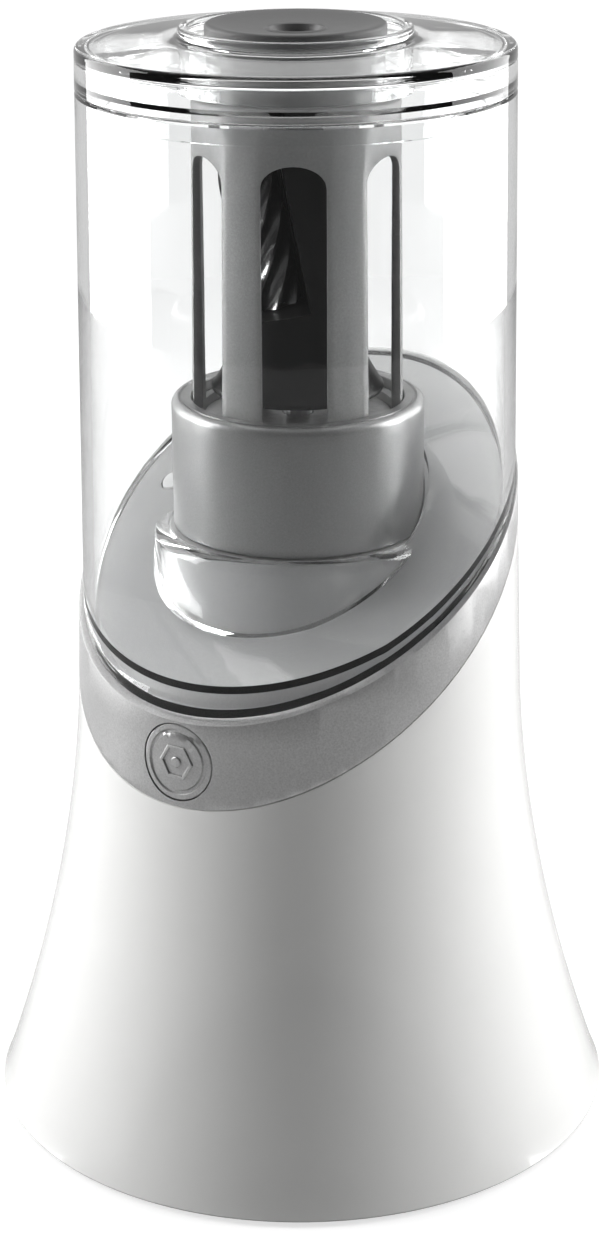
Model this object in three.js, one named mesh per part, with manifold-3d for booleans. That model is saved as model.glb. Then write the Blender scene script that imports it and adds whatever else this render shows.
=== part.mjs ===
// Desktop electric pencil sharpener with a clear shavings bin, in millimetres, +Z up.
// The origin is on the table under the middle of the base, and the front with its badge faces -Y.
// The pencil goes in at the top. A helical cutter runs round it inside the slotted guide tower.
// The bin stands on a slanted deck over the motor base, and lifts straight off over the tower.
import * as THREE from "three";
import { mergeVertices } from "three/addons/utils/BufferGeometryUtils.js";
import Module from "manifold-3d";

const wasm = await Module();
wasm.setup();

// ---- Driving dimensions ---------------------------------------------------------------------

// Clearances and the fineness of round parts
const GAP = 0.3; // between parts that are fixed to each other
const SLIDE_GAP = 0.5; // between parts that slide or lift
const FINE = 40; // sides of a large round part
const COARSE = 16; // sides of a small round part

// Overall heights and radii
const DECK_HEIGHT = 126.8; // table to the band's upper edge, on the axis
const HEAD_HEIGHT = 103.2; // band's upper edge to the top of the entry disc
const FOOT_PROUD = 0.8;
const BASE_RADIUS = 66.15; // rim on the table
const WAIST_RADIUS = 45.5; // at the deck height
const WAIST_DRAFT = 0.0317; // growth of the waist per millimetre down
const FLARE_KNEE_Z = 52;
const FLARE_TOP_DROP = 30.8; // deck height to the start of the flare

// Slanted faces
const DECK_SLOPE = Math.tan(THREE.MathUtils.degToRad(30.7));
const BAND_EDGE_SLOPE = Math.tan(THREE.MathUtils.degToRad(36.2));
const BAND_HEIGHT = 10.7; // on the axis
const DECK_RISE = 1.3; // plateau above the band's upper edge
const DECK_THICK = 3;
const CREASE_Y = -24.5;
const CREASE_SLOPE = 0.48;

// Base shell and band
const SHELL_WALL = 2.8;
const BAND_WALL = 1.6;
const SPIGOT_WALL = 2.9; // shell behind the band
const BADGE_RADIUS = 7.9;
const BADGE_DROP = 0.8; // band left above the badge
const BADGE_GROOVE = 0.25;

// Bin
const BIN_INSET = 0.71; // behind the waist, at the deck height
const BIN_DRAFT = 0.0156;
const BIN_WALL = 2.3;
const BIN_LIFT_GAP = 0.6; // groove between the bin and the band
const BIN_FLOOR = 2.6;
const COLLAR_WALL = 3;
const COLLAR_FLARE = 0.5;
const COLLAR_GAP = 1.15; // round the pedestal

// Lid
const LID_EDGE_DROP = 3.7; // disc top to the lid's top edge
const LID_SKIRT = 9;
const LID_WALL = 2.2;
const LID_DOME = 1.2;
const LID_ROUND = 1.2;
const PLUG_DEPTH = 4;
const BOSS_RADIUS = 23.05;
const BOSS_WALL = 1.9;
const BOSS_DROP = 0.7;

// Pedestal, tower and entry disc
const PEDESTAL_WALL = 4.1;
const PEDESTAL_RISE = 28.5; // band's upper edge, on the axis, to the pedestal's rim
const PEDESTAL_ROUND = 1.6;
const PEDESTAL_FLOOR = 3;
const CUTTER_CLEAR = 2.107; // cutter's sweep to the inside of the tower's foot
const TOWER_TAPER = 0.7; // radius lost from the pedestal's rim to the shoulder
const TOWER_WALL = 2;
const TOWER_ROOF = 2.4;
const SHOULDER_DROP = 13.5; // disc top to the tower's shoulder
const SHOULDER_ROUND = 1.2;
const NECK_RADIUS = 17.7;
const NECK_WALL = 2.2;
const WINDOWS = 6;
const WINDOW_WIDTH = 12.7;
const WINDOW_ARCH = 4.5;
const WINDOW_DROP = 10.7; // shoulder to the top of the arch
const DISC_RADIUS = 17.86;
const DISC_THICK = 3.6;
const DISC_DISH = 1.3;
const PENCIL_BORE = 4.1; // radius
const FUNNEL_RADIUS = 5.35;
const GUIDE_WALL = 2;

// Cutter head
const CUTTER_TILT = THREE.MathUtils.degToRad(11);
const CUTTER_AZIMUTH = THREE.MathUtils.degToRad(-145);
const CUTTER_RADIUS = 6;
const CUTTER_LENGTH = 35;
const CUTTER_FLUTES = 8;
const FLUTE_DEPTH = 1.1;
const HELIX_ANGLE = THREE.MathUtils.degToRad(30);
const TIP_DROP = 35; // tower's shoulder to the pencil's point
const AXLE_RADIUS = 1.5;
const AXLE_FIT = 0.35;
const AXLE_TAIL = 5; // axle below the cutter
const CARRIER_RADIUS = 14;
const CARRIER_LIFT = 1.2; // above the pedestal's rim
const CARRIER_FOOT_RADIUS = 17.5;
const CARRIER_FOOT_HEIGHT = 7.5;
const CARRIER_TOP_RADIUS = 15.1;
const HUB_RADIUS = 6.6;
const HUB_RISE = 4.6;
const BEARING_DROP = 3.8; // pedestal's rim to the bearing plate
const BEARING_THICK = 3;
const RING_TEETH = 40;
const PLANET_TEETH = 10;
const RING_HEIGHT = 5;
const RING_DROP = 2.8; // shoulder to the top of the ring gear
const PLANET_FACE = 3.6;

// Drive in the base
const PRESSURE = THREE.MathUtils.degToRad(25);
const MODULE = 1;
const ADDENDUM = 0.8;
const DEDENDUM = 1.15;
const TOOTH_PLAY = 0.16;
const OUTPUT_TEETH = 36;
const IDLER_TEETH = 30;
const PINION_TEETH = 10;
const GEAR_FACE = 5;
const SHAFT_RADIUS = 3;
const SHAFT_WELL = 3; // room round the shaft in the deck and pedestal
const SHAFT_ENTRY = 5; // depth in the carrier's foot
const PIN_RADIUS = 1.5;
const MOTOR_SHAFT_RADIUS = 1.15;
const MOTOR_RADIUS = 13.85;
const MOTOR_LENGTH = 37.2;
const MOTOR_AXIS_Y = -22;
const MOTOR_CAP = 4.5;
const IDLER_FLOOR = 1.5; // lower plate to the idler gear
const PLATE_THICK = 2.5;
const PLATE_RADIUS = 38;
const POST_CIRCLE = 33;
const POST_RADIUS = 3;
const SCREW_RADIUS = 1.2;
const START_TRAVEL = 0.8;
const INTERLOCK_TRAVEL = 2.5;
const SWITCH_SIZE = new THREE.Vector3(12.8, 5.8, 6.5);
const SWITCH_BUTTON = 0.8; // height of a switch's button
const SWITCH_DROP = 27; // deck's underside to the interlock switch
const THRUST_HEAD_RADIUS = 4.5;
const THRUST_HEAD = 2;
const THRUST_STEM_RADIUS = 1.8;
const THRUST_LENGTH = 11;
const THRUST_ARM_DROP = 8.5; // button's top to the bracket's arm
const ARM_THICK = 1.5;
const SPRING_WIRE = 0.25;
const SPRING_RADIUS = 3.2;
const SPRING_TURNS = 3.5;
const PLUNGER_X = -34;
const PLUNGER_Y = 3;
const PLUNGER_RADIUS = 2;

// Underside
const COVER_THICK = 2.5;
const COVER_LIFT = 2;
const FOOT_RADIUS = 6;
const FOOT_INSET = 11.3; // from the cover's edge to the middle of a foot
const COVER_SCREW_INSET = 10.3; // from the cover's edge to its screws
const SCREW_BOSS_RADIUS = 4;
const SCREW_BOSS_HEIGHT = 18;
const SCREW_RIB = 3;
const BOARD_SIZE = new THREE.Vector3(44, 26, 1.6);
const BOARD_CLEAR = 9.03; // board's back corners to the shell
const JACK_SIZE = new THREE.Vector3(9, 11.5, 10.6);
const JACK_BORE = 2.8;
const INLET_MARGIN = 1.4; // opening in the shell round the jack's bore
const LEAD_RADIUS = 0.8;
const BOARD_LIFT = 3.7;

// ---- Heights worked out from them -----------------------------------------------------------

const TOP_Z = DECK_HEIGHT + HEAD_HEIGHT;
const LID_EDGE_Z = TOP_Z - LID_EDGE_DROP;
const BIN_RIM_Z = LID_EDGE_Z - LID_SKIRT;
const SHOULDER_Z = TOP_Z - SHOULDER_DROP;
const DISC_UNDER_Z = TOP_Z - DISC_THICK;
const PEDESTAL_RIM_Z = DECK_HEIGHT + PEDESTAL_RISE;
const PEDESTAL_FOOT_Z = DECK_HEIGHT + DECK_RISE + GAP;
const TOWER_FOOT_Z = PEDESTAL_FOOT_Z + PEDESTAL_FLOOR + GAP;

// The cutter's axis leaves the pencil's axis at an apex under the point. The planet pinion meshes
// inside the ring gear, and both narrow to that apex.
const TIP_Z = SHOULDER_Z - TIP_DROP;
const APEX_Z = TIP_Z - CUTTER_RADIUS / Math.sin(CUTTER_TILT);
const RING_TOP_Z = SHOULDER_Z - RING_DROP;
const RING_LOW_Z = RING_TOP_Z - RING_HEIGHT;
const MESH_Z = (RING_TOP_Z + RING_LOW_Z) / 2;
const AXIS_TAN = Math.sin(CUTTER_TILT) / (RING_TEETH / PLANET_TEETH - Math.cos(CUTTER_TILT));
const PLANET_CONE = Math.atan(AXIS_TAN);
const RING_PITCH = (MESH_Z - APEX_Z) * Math.tan(PLANET_CONE + CUTTER_TILT);
const MESH_REACH = (MESH_Z - APEX_Z) / Math.cos(PLANET_CONE + CUTTER_TILT); // along the shared line
const PLANET_SPAN = MESH_REACH * Math.cos(PLANET_CONE); // apex to the pinion's middle
const PLANET_PITCH = MESH_REACH * Math.sin(PLANET_CONE);
const CUTTER_TOP = PLANET_SPAN - PLANET_FACE / 2 - GAP - 1.2;
const CUTTER_LOW = CUTTER_TOP - CUTTER_LENGTH;
const CUTTER_REACH = CUTTER_TOP * Math.sin(CUTTER_TILT) + CUTTER_RADIUS * Math.cos(CUTTER_TILT);
const TOWER_RADIUS = CUTTER_REACH + CUTTER_CLEAR + TOWER_WALL;

const DECK_UNDER = DECK_HEIGHT + DECK_RISE - DECK_THICK;
const DECK_BACK_Z = DECK_HEIGHT + DECK_SLOPE * WAIST_RADIUS;
const BIN_RADIUS = WAIST_RADIUS - BIN_INSET - BIN_DRAFT * (LID_EDGE_Z - DECK_HEIGHT); // at the lid
const PEDESTAL_RADIUS = TOWER_RADIUS + GAP + PEDESTAL_WALL;
const DECK_RADIUS = binRadius(DECK_BACK_Z) - BIN_WALL - SLIDE_GAP;
const BIN_BOTTOM = DECK_HEIGHT + BIN_LIFT_GAP;
const GEARBOX_TOP_Z = DECK_UNDER - DECK_SLOPE * WAIST_RADIUS - 3.4;
const GEARBOX_ROOM = 2 * GEAR_FACE + START_TRAVEL + 6.5;
const UPPER_PLATE_Z = GEARBOX_TOP_Z - PLATE_THICK;
const LOWER_PLATE_TOP_Z = UPPER_PLATE_Z - GEARBOX_ROOM;
const LOWER_PLATE_Z = LOWER_PLATE_TOP_Z - PLATE_THICK;
const SHAFT_LOW_Z = LOWER_PLATE_Z - 2;
const SWITCH_LOW_Z = DECK_UNDER - SWITCH_DROP; // interlock switch, under its plunger
const THRUST_TOP_Z = SHAFT_LOW_Z - GAP;
const START_SWITCH_TOP_Z = THRUST_TOP_Z - THRUST_LENGTH - START_TRAVEL - SWITCH_BUTTON - 0.4;
const COVER_TOP_Z = COVER_LIFT + COVER_THICK;
const BOARD_TOP_Z = COVER_TOP_Z + BOARD_LIFT + BOARD_SIZE.z;
const JACK_Z = BOARD_TOP_Z + GAP + JACK_SIZE.z / 2;
const BOARD_WALL = outsideRadius(BOARD_TOP_Z) - SHELL_WALL;
const BOARD_BACK_Y = Math.sqrt(BOARD_WALL ** 2 - (BOARD_SIZE.x / 2) ** 2) - BOARD_CLEAR;
const BOARD_Y = BOARD_BACK_Y - BOARD_SIZE.y / 2;
const HALL = 400; // larger than the object
const COVER_RADIUS = outsideRadius(COVER_TOP_Z) - SHELL_WALL - 2 * GAP;
const COVER_SCREW_CIRCLE = COVER_RADIUS - COVER_SCREW_INSET;
const FOOT_CIRCLE = COVER_RADIUS - FOOT_INSET;

function waistRadius(z) {
  return WAIST_RADIUS + WAIST_DRAFT * (DECK_HEIGHT - z);
}

function binRadius(z) {
  return BIN_RADIUS + BIN_DRAFT * (LID_EDGE_Z - z);
}

// ---- Solids ---------------------------------------------------------------------------------

// A closed three.js geometry as a manifold solid.
function solid(geometry) {
  const bare = new THREE.BufferGeometry();
  const source = geometry.index ? geometry.toNonIndexed() : geometry;
  bare.setAttribute("position", source.getAttribute("position").clone());
  const merged = mergeVertices(bare, 1e-4);
  const corners = [];
  for (let i = 0; i < merged.index.count; i += 3) {
    const [a, b, c] = [0, 1, 2].map((k) => merged.index.getX(i + k));
    if (a !== b && b !== c && c !== a) corners.push(a, b, c);
  }
  const mesh = new wasm.Mesh({
    numProp: 3,
    vertProperties: merged.attributes.position.array,
    triVerts: new Uint32Array(corners),
  });
  return new wasm.Manifold(mesh);
}

function geometryOf(shape) {
  const mesh = shape.getMesh();
  const geometry = new THREE.BufferGeometry();
  geometry.setAttribute("position", new THREE.BufferAttribute(mesh.vertProperties, 3));
  geometry.setIndex(new THREE.BufferAttribute(mesh.triVerts, 1));
  geometry.computeVertexNormals();
  return geometry;
}

function union(...shapes) {
  return shapes.reduce((a, b) => a.add(b));
}

// A ring turned round Z from a closed outline of [radius, z] points, in any order of travel.
function turned(outline, sides = FINE) {
  const points = outline.map(([r, z]) => new THREE.Vector2(r, z));
  if (THREE.ShapeUtils.area(points) < 0) points.reverse();
  points.push(points[0].clone());
  return solid(new THREE.LatheGeometry(points, sides).rotateX(Math.PI / 2));
}

// A disc-like body turned round Z from an open outline that runs upwards between two axis points.
function spun(outline, sides = FINE) {
  const points = outline.map(([r, z]) => new THREE.Vector2(r, z));
  return solid(new THREE.LatheGeometry(points, sides).rotateX(Math.PI / 2));
}

function rod(radius, low, high, sides = COARSE, x = 0, y = 0) {
  const geometry = new THREE.CylinderGeometry(radius, radius, high - low, sides);
  return solid(geometry.rotateX(Math.PI / 2).translate(x, y, (low + high) / 2));
}

function washer(inner, outer, low, high, sides = COARSE) {
  const outline = [[inner, low], [outer, low], [outer, high], [inner, high]];
  return turned(outline, sides);
}

function box(x0, x1, y0, y1, z0, z1) {
  const geometry = new THREE.BoxGeometry(x1 - x0, y1 - y0, z1 - z0);
  return solid(geometry.translate((x0 + x1) / 2, (y0 + y1) / 2, (z0 + z1) / 2));
}

// Everything under the plane z = height + slope * y.
function under(height, slope) {
  const outline = new THREE.Shape();
  outline.moveTo(-HALL, -HALL);
  outline.lineTo(HALL, -HALL);
  outline.lineTo(HALL, height + slope * HALL);
  outline.lineTo(-HALL, height - slope * HALL);
  outline.closePath();
  const geometry = new THREE.ExtrudeGeometry(outline, { depth: 2 * HALL, bevelEnabled: false });
  // The outline's x and y become the part's y and z.
  geometry.translate(0, 0, -HALL);
  geometry.applyMatrix4(new THREE.Matrix4().set(0, 0, 1, 0, 1, 0, 0, 0, 0, 1, 0, 0, 0, 0, 0, 1));
  return solid(geometry);
}

// Round from one angle to another, as [radius, z] points.
function arc(centreR, centreZ, radius, from, to, steps = 3) {
  return Array.from({ length: steps + 1 }, (_, i) => {
    const angle = THREE.MathUtils.degToRad(from + ((to - from) * i) / steps);
    return [centreR + radius * Math.cos(angle), centreZ + radius * Math.sin(angle)];
  });
}

// ---- Gears ----------------------------------------------------------------------------------

// Outline of an involute gear with one tooth's middle at the given angle.
function gearOutline(teeth, module, angle, rise = ADDENDUM, depth = DEDENDUM, play = TOOTH_PLAY) {
  const pitch = (teeth * module) / 2;
  const base = pitch * Math.cos(PRESSURE);
  const tip = pitch + rise * module;
  const root = pitch - depth * module;
  const involute = (a) => Math.tan(a) - a;
  const half = Math.PI / (2 * teeth) - play / (2 * pitch) + involute(PRESSURE);
  const halfAt = (r) => half - involute(Math.acos(Math.min(1, base / r)));
  const radii = [root, (root + 2 * tip) / 3, tip];
  const points = [];
  for (let tooth = 0; tooth < teeth; tooth++) {
    const middle = angle + (tooth * 2 * Math.PI) / teeth;
    for (const r of radii) points.push([r, middle - halfAt(r)]);
    for (const r of [...radii].reverse()) points.push([r, middle + halfAt(r)]);
  }
  return points.map(([r, a]) => new THREE.Vector2(r * Math.cos(a), r * Math.sin(a)));
}

function gear(outline, bore, low, high) {
  const shape = new THREE.Shape(outline);
  if (bore > 0) shape.holes.push(new THREE.Path().absarc(0, 0, bore, 0, 2 * Math.PI, true));
  const options = { depth: high - low, bevelEnabled: false, curveSegments: 6 };
  return new THREE.ExtrudeGeometry(shape, options).translate(0, 0, low);
}

// Narrows a gear towards an apex on its axis, as a bevel gear does.
function tapered(geometry, apex, full) {
  const p = geometry.getAttribute("position");
  for (let i = 0; i < p.count; i++) {
    const share = (p.getZ(i) - apex) / (full - apex);
    p.setXY(i, p.getX(i) * share, p.getY(i) * share);
  }
  return geometry;
}

// ---- Assembly helpers -----------------------------------------------------------------------

const MATERIALS = {
  white_gloss: { color: 0xf0f0ef, roughness: 0.12, metalness: 0 },
  silver_paint: { color: 0xb9babb, roughness: 0.38, metalness: 0.7 },
  grey_paint: { color: 0x8c8d8f, roughness: 0.32, metalness: 0.6 },
  clear: { color: 0xf4f6f7, roughness: 0.03, metalness: 0, transparent: true, opacity: 0.35 },
  dark_grey: { color: 0x55565a, roughness: 0.45, metalness: 0 },
  black: { color: 0x141415, roughness: 0.4, metalness: 0 },
  white_plastic: { color: 0xdcdcd8, roughness: 0.5, metalness: 0 },
  steel: { color: 0xa9abad, roughness: 0.3, metalness: 1 },
  tool_steel: { color: 0x4b4d50, roughness: 0.28, metalness: 1 },
  brass: { color: 0xb8924a, roughness: 0.35, metalness: 1 },
  green_board: { color: 0x1f5a36, roughness: 0.5, metalness: 0 },
  rubber: { color: 0x1c1c1d, roughness: 0.85, metalness: 0 },
  red_lead: { color: 0xa81e1c, roughness: 0.5, metalness: 0 },
  black_lead: { color: 0x18181a, roughness: 0.5, metalness: 0 },
};

function place(parent, name, shape, material) {
  const geometry = shape.isBufferGeometry ? shape : geometryOf(shape);
  const mesh = new THREE.Mesh(geometry, new THREE.MeshStandardMaterial(MATERIALS[material]));
  mesh.name = name;
  parent.add(mesh);
  return mesh;
}

const sharpener = new THREE.Group();
sharpener.name = "pencil_sharpener";

// ---- Base shell, band, badge ----------------------------------------------------------------

// Outside of the base: a flare from the rim up to the straight waist, as [radius, z] points.
function flare(inset, low, steps) {
  const top = DECK_HEIGHT - FLARE_TOP_DROP;
  const curve = new THREE.QuadraticBezierCurve(
    new THREE.Vector2(BASE_RADIUS, FOOT_PROUD),
    new THREE.Vector2(waistRadius(FLARE_KNEE_Z), FLARE_KNEE_Z),
    new THREE.Vector2(waistRadius(top), top),
  );
  const points = curve.getPoints(steps).map((p) => [p.x - inset, p.y]);
  return points.filter(([, z]) => z >= low);
}

// Radius of the outside at a height, off the same curve.
function outsideRadius(z) {
  const points = flare(0, 0, 200);
  const above = points.findIndex((p) => p[1] >= z);
  return above < 0 ? waistRadius(z) : points[above][0];
}

const BACK_Z = DECK_BACK_Z + 12; // above all of the deck

function outsideBody(inset) {
  const curve = flare(inset, 0, 8);
  const peak = [waistRadius(BACK_Z) - inset, BACK_Z];
  return spun([[0, FOOT_PROUD], ...curve, peak, [0, BACK_Z]]);
}

function baseShell() {
  const bandFoot = DECK_HEIGHT - BAND_HEIGHT - GAP;
  const recess = BAND_WALL + GAP;
  const outer = outsideBody(0).intersect(under(bandFoot, BAND_EDGE_SLOPE));
  const spigot = outsideBody(recess).intersect(under(DECK_UNDER - GAP, DECK_SLOPE));
  const frontFoot = bandFoot - BAND_EDGE_SLOPE * WAIST_RADIUS;
  const room = flare(SHELL_WALL, 0, 8).filter(([, z]) => z < frontFoot - 6);
  const neck = recess + SPIGOT_WALL;
  const cavity = spun([
    [0, -5],
    [room[0][0], -5],
    ...room,
    [outsideRadius(frontFoot) - neck, frontFoot],
    [waistRadius(BACK_Z) - neck, BACK_Z],
    [waistRadius(BACK_Z) - neck, BACK_Z + 5],
    [0, BACK_Z + 5],
  ]);
  let shell = union(outer, spigot).subtract(cavity);
  // Screw bosses for the bottom cover, tied to the wall by a rib.
  const low = COVER_TOP_Z + GAP;
  const high = low + SCREW_BOSS_HEIGHT;
  for (const angle of COVER_SCREW_ANGLES) {
    const [x, y] = polar(COVER_SCREW_CIRCLE, angle);
    const rib = new THREE.BoxGeometry(BASE_RADIUS - COVER_SCREW_CIRCLE, SCREW_RIB, high - low);
    rib.translate((BASE_RADIUS - COVER_SCREW_CIRCLE) / 2 + COVER_SCREW_CIRCLE, 0, (low + high) / 2);
    const post = rod(SCREW_BOSS_RADIUS, low, high, 16, x, y);
    const boss = union(post, solid(rib.rotateZ(angle))).intersect(outsideBody(SHELL_WALL / 2));
    shell = shell.add(boss).subtract(rod(SCREW_RADIUS + GAP, low - 1, high - 3, 8, x, y));
  }
  const inlet = JACK_BORE + INLET_MARGIN;
  const hole = new THREE.CylinderGeometry(inlet, inlet, BASE_RADIUS / 2, COARSE);
  return shell.subtract(solid(hole.translate(0, BASE_RADIUS, JACK_Z)));
}

function polar(radius, angle) {
  return [radius * Math.cos(angle), radius * Math.sin(angle)];
}

const COVER_SCREW_ANGLES = [1, 3, 5, 7].map((k) => (k * Math.PI) / 4);
const FOOT_ANGLES = [0, 1, 2, 3].map((k) => (k * Math.PI) / 2);
const POST_ANGLES = [30, 150, 235].map((a) => THREE.MathUtils.degToRad(a));

const BADGE_WAIST_Z = DECK_HEIGHT - FLARE_TOP_DROP;
const BADGE_Z = DECK_HEIGHT - DECK_SLOPE * outsideRadius(BADGE_WAIST_Z) - BADGE_DROP - BADGE_RADIUS;

function badgeColumn(radius, sides) {
  const geometry = new THREE.CylinderGeometry(radius, radius, WAIST_RADIUS, sides);
  return solid(geometry.translate(0, -WAIST_RADIUS, BADGE_Z));
}

function bandBody() {
  const skin = outsideBody(0).subtract(outsideBody(BAND_WALL));
  const upper = skin.intersect(under(DECK_HEIGHT, DECK_SLOPE));
  return upper.subtract(under(DECK_HEIGHT - BAND_HEIGHT, BAND_EDGE_SLOPE));
}

function buildHousing() {
  place(sharpener, "base_shell", baseShell(), "white_gloss");
  const band = bandBody();
  const opening = badgeColumn(BADGE_RADIUS + BADGE_GROOVE, 32);
  place(sharpener, "trim_band", band.subtract(opening), "silver_paint");
  place(sharpener, "badge", band.intersect(badgeColumn(BADGE_RADIUS, 32)), "silver_paint");
}

// ---- Deck and pedestal ----------------------------------------------------------------------

// Everything under the creased deck surface, raised by a height.
function underCrease(lift) {
  const plane = DECK_HEIGHT + DECK_RISE + lift;
  const crease = plane + (DECK_SLOPE - CREASE_SLOPE) * CREASE_Y;
  return under(plane, DECK_SLOPE).add(under(crease, CREASE_SLOPE));
}

function deck() {
  const low = UPPER_PLATE_Z;
  const flangeRadius = waistRadius(BACK_Z) - BAND_WALL - GAP;
  const flange = rod(flangeRadius, low, BACK_Z, FINE);
  const plateau = rod(DECK_RADIUS, low, BACK_Z, FINE);
  const slab = union(
    flange.intersect(under(DECK_HEIGHT - GAP, DECK_SLOPE)),
    plateau.intersect(underCrease(0)),
  ).subtract(under(DECK_UNDER, DECK_SLOPE));
  const seatZ = PEDESTAL_FOOT_Z - GAP;
  const bossRadius = PEDESTAL_RADIUS + COLLAR_GAP - SLIDE_GAP;
  const boss = rod(bossRadius, low, seatZ, FINE).subtract(under(DECK_UNDER, DECK_SLOPE));
  const seat = rod(bossRadius, seatZ - DECK_THICK, seatZ, FINE);
  const posts = POST_ANGLES.map((angle) => {
    const [x, y] = polar(POST_CIRCLE, angle);
    const post = rod(POST_RADIUS + 1, GEARBOX_TOP_Z + GAP, BACK_Z, 16, x, y);
    return post.intersect(under(DECK_UNDER + 1, DECK_SLOPE));
  });
  const wallX = PLUNGER_X + SWITCH_SIZE.y / 2 + GAP;
  const wall = box(wallX, wallX + 1.8, PLUNGER_Y - 8, PLUNGER_Y + 8, SWITCH_LOW_Z, BACK_Z)
    .intersect(under(DECK_UNDER + 1, DECK_SLOPE));
  let shape = union(slab, boss, seat, wall, ...posts);
  shape = shape.subtract(rod(PEDESTAL_RADIUS + GAP, seatZ, BACK_Z, FINE));
  shape = shape.subtract(rod(SHAFT_RADIUS + SHAFT_WELL, low, BACK_Z, COARSE));
  shape = shape.subtract(rod(PLUNGER_RADIUS + GAP, low, BACK_Z, COARSE, PLUNGER_X, PLUNGER_Y));
  for (const angle of POST_ANGLES) {
    const [x, y] = polar(POST_CIRCLE, angle);
    shape = shape.subtract(rod(SCREW_RADIUS + GAP, low, GEARBOX_TOP_Z + 10, 8, x, y));
  }
  return shape;
}

function pedestal() {
  const rim = PEDESTAL_RIM_Z;
  const inner = TOWER_RADIUS + GAP;
  const shoulder = arc(PEDESTAL_RADIUS - PEDESTAL_ROUND, rim - PEDESTAL_ROUND, PEDESTAL_ROUND, 0, 90);
  return turned([
    [SHAFT_RADIUS + SHAFT_WELL, PEDESTAL_FOOT_Z],
    [PEDESTAL_RADIUS, PEDESTAL_FOOT_Z],
    ...shoulder,
    [inner, rim],
    [inner, PEDESTAL_FOOT_Z + PEDESTAL_FLOOR],
    [SHAFT_RADIUS + SHAFT_WELL, PEDESTAL_FOOT_Z + PEDESTAL_FLOOR],
  ]);
}

// ---- Guide tower, ring gear, entry disc ------------------------------------------------------

const HEAD_RADIUS = TOWER_RADIUS - TOWER_TAPER;
const TOWER_INSIDE = HEAD_RADIUS - TOWER_WALL + 0.5;
const ROOF_UNDER_Z = SHOULDER_Z - TOWER_ROOF;
const CARRIER_TOP_Z = ROOF_UNDER_Z + TOWER_ROOF; // top plate's upper face, inside the neck
const BEARING_TOP_Z = PEDESTAL_RIM_Z - BEARING_DROP;
const WINDOW_LOW_Z = PEDESTAL_RIM_Z - 2;

function guideTower() {
  const neckTop = DISC_UNDER_Z - GAP;
  const rimZ = PEDESTAL_RIM_Z;
  let shape = turned([
    [TOWER_RADIUS - TOWER_WALL, TOWER_FOOT_Z],
    [TOWER_RADIUS, TOWER_FOOT_Z],
    [TOWER_RADIUS, rimZ],
    ...arc(HEAD_RADIUS - SHOULDER_ROUND, SHOULDER_Z - SHOULDER_ROUND, SHOULDER_ROUND, 0, 90, 3),
    [NECK_RADIUS, SHOULDER_Z],
    [NECK_RADIUS, neckTop],
    [NECK_RADIUS - NECK_WALL, neckTop],
    [NECK_RADIUS - NECK_WALL, ROOF_UNDER_Z],
    [TOWER_INSIDE, ROOF_UNDER_Z],
  ]);
  const arch = SHOULDER_Z - WINDOW_DROP;
  const opening = new THREE.Shape();
  opening.moveTo(WINDOW_WIDTH / 2, WINDOW_LOW_Z);
  opening.lineTo(WINDOW_WIDTH / 2, arch - WINDOW_ARCH);
  opening.absellipse(0, arch - WINDOW_ARCH, WINDOW_WIDTH / 2, WINDOW_ARCH, 0, Math.PI);
  opening.lineTo(-WINDOW_WIDTH / 2, WINDOW_LOW_Z);
  opening.closePath();
  const options = { depth: 2 * TOWER_RADIUS, bevelEnabled: false, curveSegments: 6 };
  for (let k = 0; k < WINDOWS; k++) {
    const cut = new THREE.ExtrudeGeometry(opening, options);
    cut.translate(0, 0, CARRIER_RADIUS).rotateX(Math.PI / 2);
    cut.rotateZ(((k + 0.5) * 2 * Math.PI) / WINDOWS);
    shape = shape.subtract(solid(cut));
  }
  return shape;
}

function ringGear() {
  const body = rod(TOWER_INSIDE - GAP, RING_LOW_Z, RING_TOP_Z, 48);
  const module = (2 * RING_PITCH) / RING_TEETH;
  // The hollow is a gear outline too, so its teeth are the ring's spaces.
  const outline = gearOutline(RING_TEETH, module, CUTTER_AZIMUTH, 0.85, 0.5, -2 * TOOTH_PLAY);
  const hollow = gear(outline, 0, RING_LOW_Z - 1, RING_TOP_Z + 1);
  // Its full size lies lower by the head's travel, so that the pinion stays clear when it sinks.
  return body.subtract(solid(tapered(hollow, APEX_Z, MESH_Z - START_TRAVEL)));
}

function entryDisc() {
  const under = DISC_UNDER_Z;
  const tubeLow = CARRIER_TOP_Z + HUB_RISE + START_TRAVEL;
  return turned([
    [PENCIL_BORE, tubeLow],
    [PENCIL_BORE + GUIDE_WALL, tubeLow],
    [PENCIL_BORE + GUIDE_WALL, under],
    [DISC_RADIUS, under],
    ...arc(DISC_RADIUS - 0.8, TOP_Z - 0.8, 0.8, 0, 90, 2),
    [DISC_RADIUS - 5, TOP_Z - DISC_DISH * 0.6],
    [FUNNEL_RADIUS, TOP_Z - DISC_DISH - 0.3],
    [PENCIL_BORE, TOP_Z - DISC_DISH - 1.6],
  ], FINE);
}

function bushes() {
  const low = CARRIER_TOP_Z + START_TRAVEL;
  const neck = NECK_RADIUS - NECK_WALL - GAP;
  place(sharpener, "top_bush", washer(HUB_RADIUS + GAP, neck, low, low + 2.6), "brass");
  const inside = TOWER_RADIUS - TOWER_WALL - GAP;
  const plate = turned([
    [SHAFT_RADIUS + GAP, BEARING_TOP_Z - BEARING_THICK - 3],
    [SHAFT_RADIUS + SHAFT_WELL, BEARING_TOP_Z - BEARING_THICK - 3],
    [SHAFT_RADIUS + SHAFT_WELL, BEARING_TOP_Z - BEARING_THICK],
    [inside, BEARING_TOP_Z - BEARING_THICK],
    [inside, BEARING_TOP_Z],
    [SHAFT_RADIUS + GAP, BEARING_TOP_Z],
  ], FINE);
  place(sharpener, "bearing_plate", plate, "grey_paint");
}

// ---- Cutter head -----------------------------------------------------------------------------

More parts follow.
